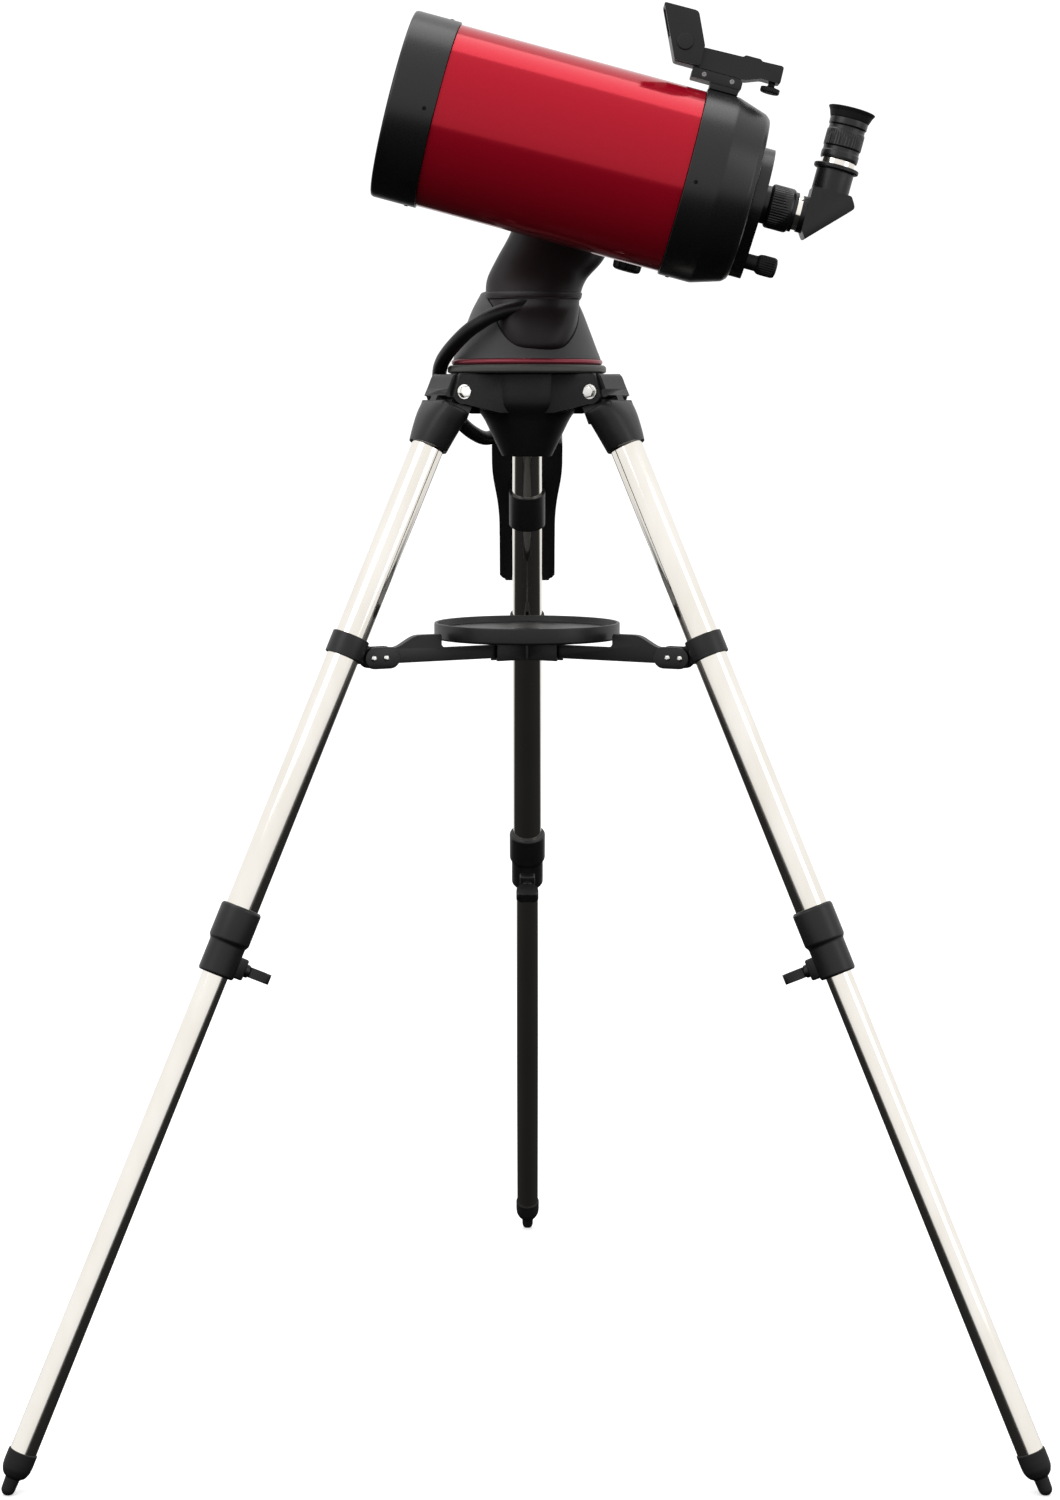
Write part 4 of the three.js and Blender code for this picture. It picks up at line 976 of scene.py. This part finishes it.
def build_leg(side):
    here = LEG[side]
    body = f"leg_{side}"
    tongue, socket = bracket_solid()
    bore = rod(UPPER_RADIUS + 0.15, -70, -33.8, soft=0.05, segments=96)
    pivot_bore = laid(rod(4.2, -40, 40, soft=0.05), TO_Y)
    notches = [block((5, low, -15), (20, low + 24, -10), soft=0.8) for low in (-30, 6)]
    add(f"leg_bracket_{side}", socket, here, MOULDED_BLACK, body, joins=[tongue],
        cuts=[bore, pivot_bore, *notches])

    tube = [
        (UPPER_RADIUS - 2.5, -577), (UPPER_RADIUS, -577, 0.4), (UPPER_RADIUS, -34, 0.4),
        (UPPER_RADIUS - 2.5, -34),
    ]
    add(f"upper_tube_{side}", turned(tube), here, STEEL, body)

    collar = [
        (UPPER_RADIUS + 0.2, CLAMP_TOP), (18.4, CLAMP_TOP, 0.8), (20, CLAMP_TOP - 2.2, 1),
        (20, CLAMP_TOP - 33.5, 1.5), (17.7, CLAMP_TOP - 37, 1.5), (17.7, CLAMP_BOTTOM + 2, 1),
        (16.4, CLAMP_BOTTOM, 0.8), (LOWER_RADIUS + 0.3, CLAMP_BOTTOM), (LOWER_RADIUS + 0.3, -578.4),
        (UPPER_RADIUS + 0.2, -578.4),
    ]
    boss = block((-25, -8.5, CLAMP_BOTTOM + 3), (-13, 8.5, CLAMP_BOTTOM + 24), soft=2)
    lower_bore = rod(LOWER_RADIUS + 0.3, CLAMP_BOTTOM - 1, -578.6, soft=0.05, segments=96)
    add(f"clamp_collar_{side}", turned(collar), here, MOULDED_BLACK, body, joins=[boss],
        cuts=[lower_bore])

    wing = rounded([
        (-30, -7, 1), (-30, 7, 1), (-36, 11.5, 5), (-50, 13, 5), (-53, 6, 4), (-51.5, 0, 3), (-53, -6, 4),
        (-50, -13, 5), (-36, -11.5, 5),
    ])
    paddle = laid(prism(wing, -5, 5, bevel=1.8, segments=4), move(0, 0, KNOB_HEIGHT))
    stem = laid(rod(6.4, -31, -25.4, soft=0.6), TO_X, move(0, 0, KNOB_HEIGHT))
    add(f"leg_knob_{side}", paddle, here, MOULDED_BLACK, f"leg_knob_{side}", joins=[stem])

    lower = [
        (LOWER_RADIUS - 2.5, -1095), (LOWER_RADIUS, -1095, 0.3), (LOWER_RADIUS, -470, 0.4),
        (LOWER_RADIUS - 2.5, -470),
    ]
    add(f"lower_tube_{side}", turned(lower), here, STEEL, f"lower_leg_{side}")
    build_foot(side)
    build_band(side)


def build_foot(side):
    """A rubber foot with a round nose, cut flat where it stands on the floor."""
    tip = -1130
    ball = 6.5
    profile = arc(0, tip + ball, ball, -90, 90, 8) + rounded([
        (7, tip + 17, 2), (11, tip + 20, 2), (13.6, tip + 26, 2), (14, tip + 32, 1), (14, tip + 43, 0.8),
        (LOWER_RADIUS + 0.2, tip + 43), (LOWER_RADIUS + 0.2, tip + 35), (0, tip + 35),
    ], closed=False)
    obj = mesh_object(f"foot_{side}", lathe(profile, 72), LEG[side])
    below = block((-60, -60, -20), (60, 60, 0), soft=0.05, segments=1)
    low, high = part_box(f"foot_{side}")
    centre = (low + high) / 2
    floor = local_frame((centre.x, centre.y, low.z), (1, 0, 0), (0, 0, 1))
    combine(obj, mesh_object(f"floor_cut_{side}", below, floor), "DIFFERENCE")
    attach(obj, f"lower_leg_{side}")
    dress(obj, RUBBER, f"foot_{side}")


def build_band(side):
    middle = -269.5
    ring = [
        (UPPER_RADIUS + 0.15, middle - 11, 0.3), (18.5, middle - 11, 1), (18.5, middle + 11, 1),
        (UPPER_RADIUS + 0.15, middle + 11, 0.3),
    ]
    reach = -28.8
    eye = arc(reach, middle, 9, 90, 180, 12)
    lug = laid(prism([(-16.5, middle - 9), (-16.5, middle + 9), *eye], -4.4, 4.4, bevel=0.8), SIDE_ON)
    add(f"spreader_band_{side}", turned(ring), LEG[side], MOULDED_BLACK, f"leg_{side}", joins=[lug])


# ---------------- spreader and tray

TRAY_RADIUS = 93
TRAY_BOTTOM = ARM_PIVOT_HEIGHT + 12.5
TRAY_TOP = TRAY_BOTTOM + 16


def build_spreader_arm(side):
    length = ARM_PIVOT_RADIUS - 30
    tray_edge = ARM_PIVOT_RADIUS - TRAY_RADIUS - 6
    web_side = rounded([
        (11, -6, 1), (length, -6, 3), (length, 7, 3), (tray_edge, 7, 3), (tray_edge, 20.5, 2),
        (47, 20.5, 6), (26, 9, 6), (11, 9, 1),
    ])
    web = laid(prism(web_side, -4, 4, bevel=0.9), SIDE_ON)
    cheek_side = arc(0, 0, 10.5, 90, 180, 16) + arc(17, 0, 10.5, -90, 180, 16)
    here = SPREADER[side]
    body = f"spreader_arm_{side}"
    add(f"spreader_arm_{side}", web, here, MOULDED_BLACK, body)
    links = []
    rivets = []
    for hand in (-1, 1):
        low, high = sorted((hand * 4.95, hand * 8.5))
        links.append(laid(prism(cheek_side, low, high, bevel=0.8), SIDE_ON))
        for x in (-1.5, 12):
            head = turned([(0, 1.8), (1.8, 1.8, 0.8), (3, 0.8, 0.5), (3.1, -0.1), (0, -0.1)], 32)
            rivets.append(laid(head, Matrix.Rotation(-hand * math.pi / 2, 4, "X"), move(x, hand * 8.4, 0)))
    add(f"arm_links_{side}", together(links), here, MOULDED_BLACK, body)
    add(f"arm_rivets_{side}", together(rivets), here, BRIGHT_BOLT, body)


def build_tray():
    profile = [
        (0, TRAY_BOTTOM), (TRAY_RADIUS, TRAY_BOTTOM, 2.5), (TRAY_RADIUS, TRAY_TOP, 1.2),
        (TRAY_RADIUS - 3, TRAY_TOP, 1), (TRAY_RADIUS - 4.2, TRAY_TOP - 6.5, 1.5), (14, TRAY_TOP - 7, 1),
        (13, TRAY_TOP - 5.4, 1), (0, TRAY_TOP - 5.4),
    ]
    add("accessory_tray", turned(profile, 160), WORLD, MOULDED_BLACK, "tray")
    stem = rod(9, ARM_PIVOT_HEIGHT - 9, TRAY_BOTTOM - 0.3, soft=0.8, segments=64)
    cheeks = []
    for side in SIDES:
        for hand in (-1, 1):
            low, high = sorted((hand * 4.7, hand * 7.2))
            cheek = block((5, low, ARM_PIVOT_HEIGHT - 9), (38, high, TRAY_BOTTOM - 0.4), soft=0.7)
            cheeks.append(laid(cheek, about_z(side)))
    add("spreader_hub", stem, WORLD, MOULDED_BLACK, "spreader_hub", joins=cheeks)


# ---------------- hand controller and cable

HANDSET_INNER = 25
HANDSET_OUTER = 49
PAD_MIDDLE = -171.5
DISPLAY_MIDDLE = -98
FIRST_KEY = -136
KEY_PITCH_ACROSS = 14.5
KEY_PITCH_DOWN = 14.2


def build_handset():
    here = LEG["rear"]
    outline = rounded([
        (-37, -60, 12), (-37, -102, 14), (-29.5, -146, 20), (-29.5, -231, 8), (29.5, -231, 8),
        (29.5, -146, 20), (37, -102, 14), (37, -60, 12),
    ], steps=8)
    shell = laid(prism(outline, HANDSET_INNER, HANDSET_OUTER, bevel=5, segments=6), END_ON)
    face = HANDSET_OUTER
    recess = panel(0, PAD_MIDDLE, 23.4, 44.5, 3, face - 1.2, face + 5)
    display_cut = panel(0, DISPLAY_MIDDLE, 26, 14, 2, face - 1, face + 5)
    add("handset", shell, here, MOULDED_BLACK, "handset", cuts=[recess, display_cut])
    display = panel(0, DISPLAY_MIDDLE, 25.6, 13.6, 2, face - 1.1, face - 0.3, bevel=0.2)
    add("handset_display", display, here, DISPLAY, "handset")
    pad = panel(0, PAD_MIDDLE, 23, 44.1, 3, face - 1.3, face + 0.4, bevel=0.4)
    add("keypad", pad, here, RUBBER, "handset")
    keys = []
    for row in range(6):
        for column in (-1, 0, 1):
            z = FIRST_KEY - KEY_PITCH_DOWN * row
            keys.append(panel(column * KEY_PITCH_ACROSS, z, 5.4, 4.3, 2.4, face - 0.2, face + 2.6, bevel=1))
    add("handset_keys", together(keys), here, KEY_GREY, "handset")
    strap = [
        (UPPER_RADIUS + 0.15, -150, 0.3), (19, -150, 0.8), (19, -112, 0.8),
        (UPPER_RADIUS + 0.15, -112, 0.3),
    ]
    back = block((16.5, -16, -150), (HANDSET_INNER - 0.8, 16, -112), soft=1.2)
    add("handset_holder", turned(strap), here, MOULDED_BLACK, "leg_rear", joins=[back])


CABLE_PATH = [  # it leaves the arm's lower end and hangs round the back to the handset's top
    (0, -48, 1107), (-12, -55, 1104.5), (-23, -58.5, 1101.5), (-35, -60, 1096.5), (-46, -58.5, 1090),
    (-57, -53, 1082.5), (-68.5, -43, 1072), (-78.5, -28, 1061), (-84.5, -12, 1051.5), (-87, 4, 1041),
    (-86, 22, 1030), (-79, 45, 1012), (-67, 70, 994), (-54.5, 92, 983), (-42, 112, 978),
    (-28, 126, 983), (-16, 137, 991), (-12, 144, 988),
]


def build_cable():
    """A round cable swept along its path as a mesh."""
    radius = 7.2
    path = [Vector(point) for point in smooth_between(CABLE_PATH, 120)]
    side = Vector((0, 0, 1))
    rings = []
    for i, point in enumerate(path):
        forward = (path[min(i + 1, len(path) - 1)] - path[max(i - 1, 0)]).normalized()
        side = (side - forward * side.dot(forward)).normalized()
        other = forward.cross(side)
        rings.append([
            tuple(point + radius * (side * math.cos(TAU * k / 32) + other * math.sin(TAU * k / 32)))
            for k in range(32)
        ])
    cable = mesh_object("controller_cable", loft(rings), WORLD)
    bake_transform(cable)
    dress(cable, CABLE_JACKET, "controller_cable", angle=40)


# ---------------- nodes kept from the CAD


def paint_kept_nodes():
    """Hidden parts keep their CAD shape and get a procedural material."""
    kept = {
        "azimuth_turntable": BASE_GREY, "azimuth_motor": CAST_BLACK, "altitude_motor": CAST_BLACK,
        "azimuth_pinion": NYLON, "altitude_pinion": NYLON, "control_board": BOARD,
    }
    for node, material in kept.items():
        for material_slot in frame["nodes"][node].material_slots:
            material_slot.link = "OBJECT"
            material_slot.material = material


# ---------------- stage, light and camera


def build_stage():
    bpy.ops.mesh.primitive_plane_add(size=40, location=(0, 0, -0.0005))
    floor = bpy.context.object
    floor.name = "floor"
    shader = Shader("floor_paper")
    drift = shader.noise(1.5, detail=2)
    paper = shader.ramp(drift, (0.93, 0.93, 0.93), (0.95, 0.95, 0.95))
    shader.link(paper, shader.bsdf.inputs["Base Color"])
    put(shader.bsdf, Roughness=0.9, Emission_Color=(1, 1, 1, 1), Emission_Strength=0.35)
    floor.data.materials.append(shader.material)
    floor.visible_glossy = False
    floor.visible_diffuse = False


def build_world():
    """White to the camera; the telescope itself sees a bright sky over a dark lower half."""
    world = bpy.data.worlds.new("studio")
    bpy.context.scene.world = world
    world.use_nodes = True
    tree = world.node_tree
    tree.nodes.clear()
    new = tree.nodes.new
    link = tree.links.new
    output = new("ShaderNodeOutputWorld")
    backdrop = new("ShaderNodeBackground")
    put(backdrop, Color=(1, 1, 1, 1), Strength=1.1)
    studio = new("ShaderNodeBackground")
    put(studio, Strength=1.0)
    coordinates = new("ShaderNodeTexCoord")
    split = new("ShaderNodeSeparateXYZ")
    ramp = new("ShaderNodeValToRGB")
    elements = ramp.color_ramp.elements
    elements[0].position = 0.0
    elements[0].color = (0.01, 0.01, 0.01, 1)
    elements[1].position = 1.0
    elements[1].color = (1, 1, 1, 1)
    for position, value in ((0.33, 0.02), (0.37, 0.12), (0.39, 0.8), (0.5, 0.9)):
        element = elements.new(position)
        element.color = (value, value, value, 1)
    spread = new("ShaderNodeMapRange")
    put(spread, From_Min=-1, From_Max=1)
    path = new("ShaderNodeLightPath")
    mix = new("ShaderNodeMixShader")
    link(coordinates.outputs["Generated"], split.inputs["Vector"])
    link(split.outputs["Z"], spread.inputs["Value"])
    link(spread.outputs["Result"], ramp.inputs["Fac"])
    link(ramp.outputs["Color"], studio.inputs["Color"])
    link(path.outputs["Is Camera Ray"], mix.inputs["Fac"])
    link(studio.outputs["Background"], mix.inputs[1])
    link(backdrop.outputs["Background"], mix.inputs[2])
    link(mix.outputs["Shader"], output.inputs["Surface"])


def area_light(name, location, target, size, power):
    data = bpy.data.lights.new(name, "AREA")
    data.shape = "RECTANGLE"
    data.size, data.size_y = size
    data.energy = power
    light = bpy.data.objects.new(name, data)
    light.location = location
    aim = Vector(target) - Vector(location)
    light.rotation_euler = aim.to_track_quat("-Z", "Y").to_euler()
    bpy.context.scene.collection.objects.link(light)


def build_lights():
    centre = AXIS_ORIGIN + Vector((0, 0, 0.9))
    area_light("key", centre + Vector((-1.6, -1.8, 1.6)), centre, (1.6, 1.6), 12)
    area_light("fill", centre + Vector((2.2, -1.4, 0.8)), centre, (1.2, 2.0), 8)
    area_light("top", centre + Vector((0, 0.2, 2.2)), centre, (2.4, 1.2), 16)


CAMERA_PLACE = Vector((0.003, -2.712, 1.002))  # from the foot of the centre axis
CAMERA_TILT = 7.05  # degrees below level
CAMERA_LENS = 65.06


def build_camera():
    """A level-headed view from the front, tipped down a little, as a product shot is taken."""
    data = bpy.data.cameras.new("camera")
    data.lens = CAMERA_LENS
    data.sensor_width = 36
    data.clip_start = 0.1
    camera = bpy.data.objects.new("camera", data)
    camera.location = AXIS_ORIGIN + CAMERA_PLACE
    camera.rotation_euler = (math.radians(90 - CAMERA_TILT), 0, 0)
    bpy.context.scene.collection.objects.link(camera)
    bpy.context.scene.camera = camera


# ---------------- build

build_front_cell()
build_main_tube()
build_rear_cell()
build_front_optics()
build_focus_knob()
build_visual_back()
build_diagonal()
build_eyepiece()
build_finder()
build_saddle()
build_arm()
build_turning_base()
build_collar()
build_base_plate()
build_tripod_head()
for leg_side in SIDES:
    build_leg(leg_side)
    build_spreader_arm(leg_side)
build_tray()
build_handset()
build_cable()
paint_kept_nodes()
build_stage()
build_world()
build_lights()
build_camera()

bpy.context.scene.view_settings.view_transform = "Standard"
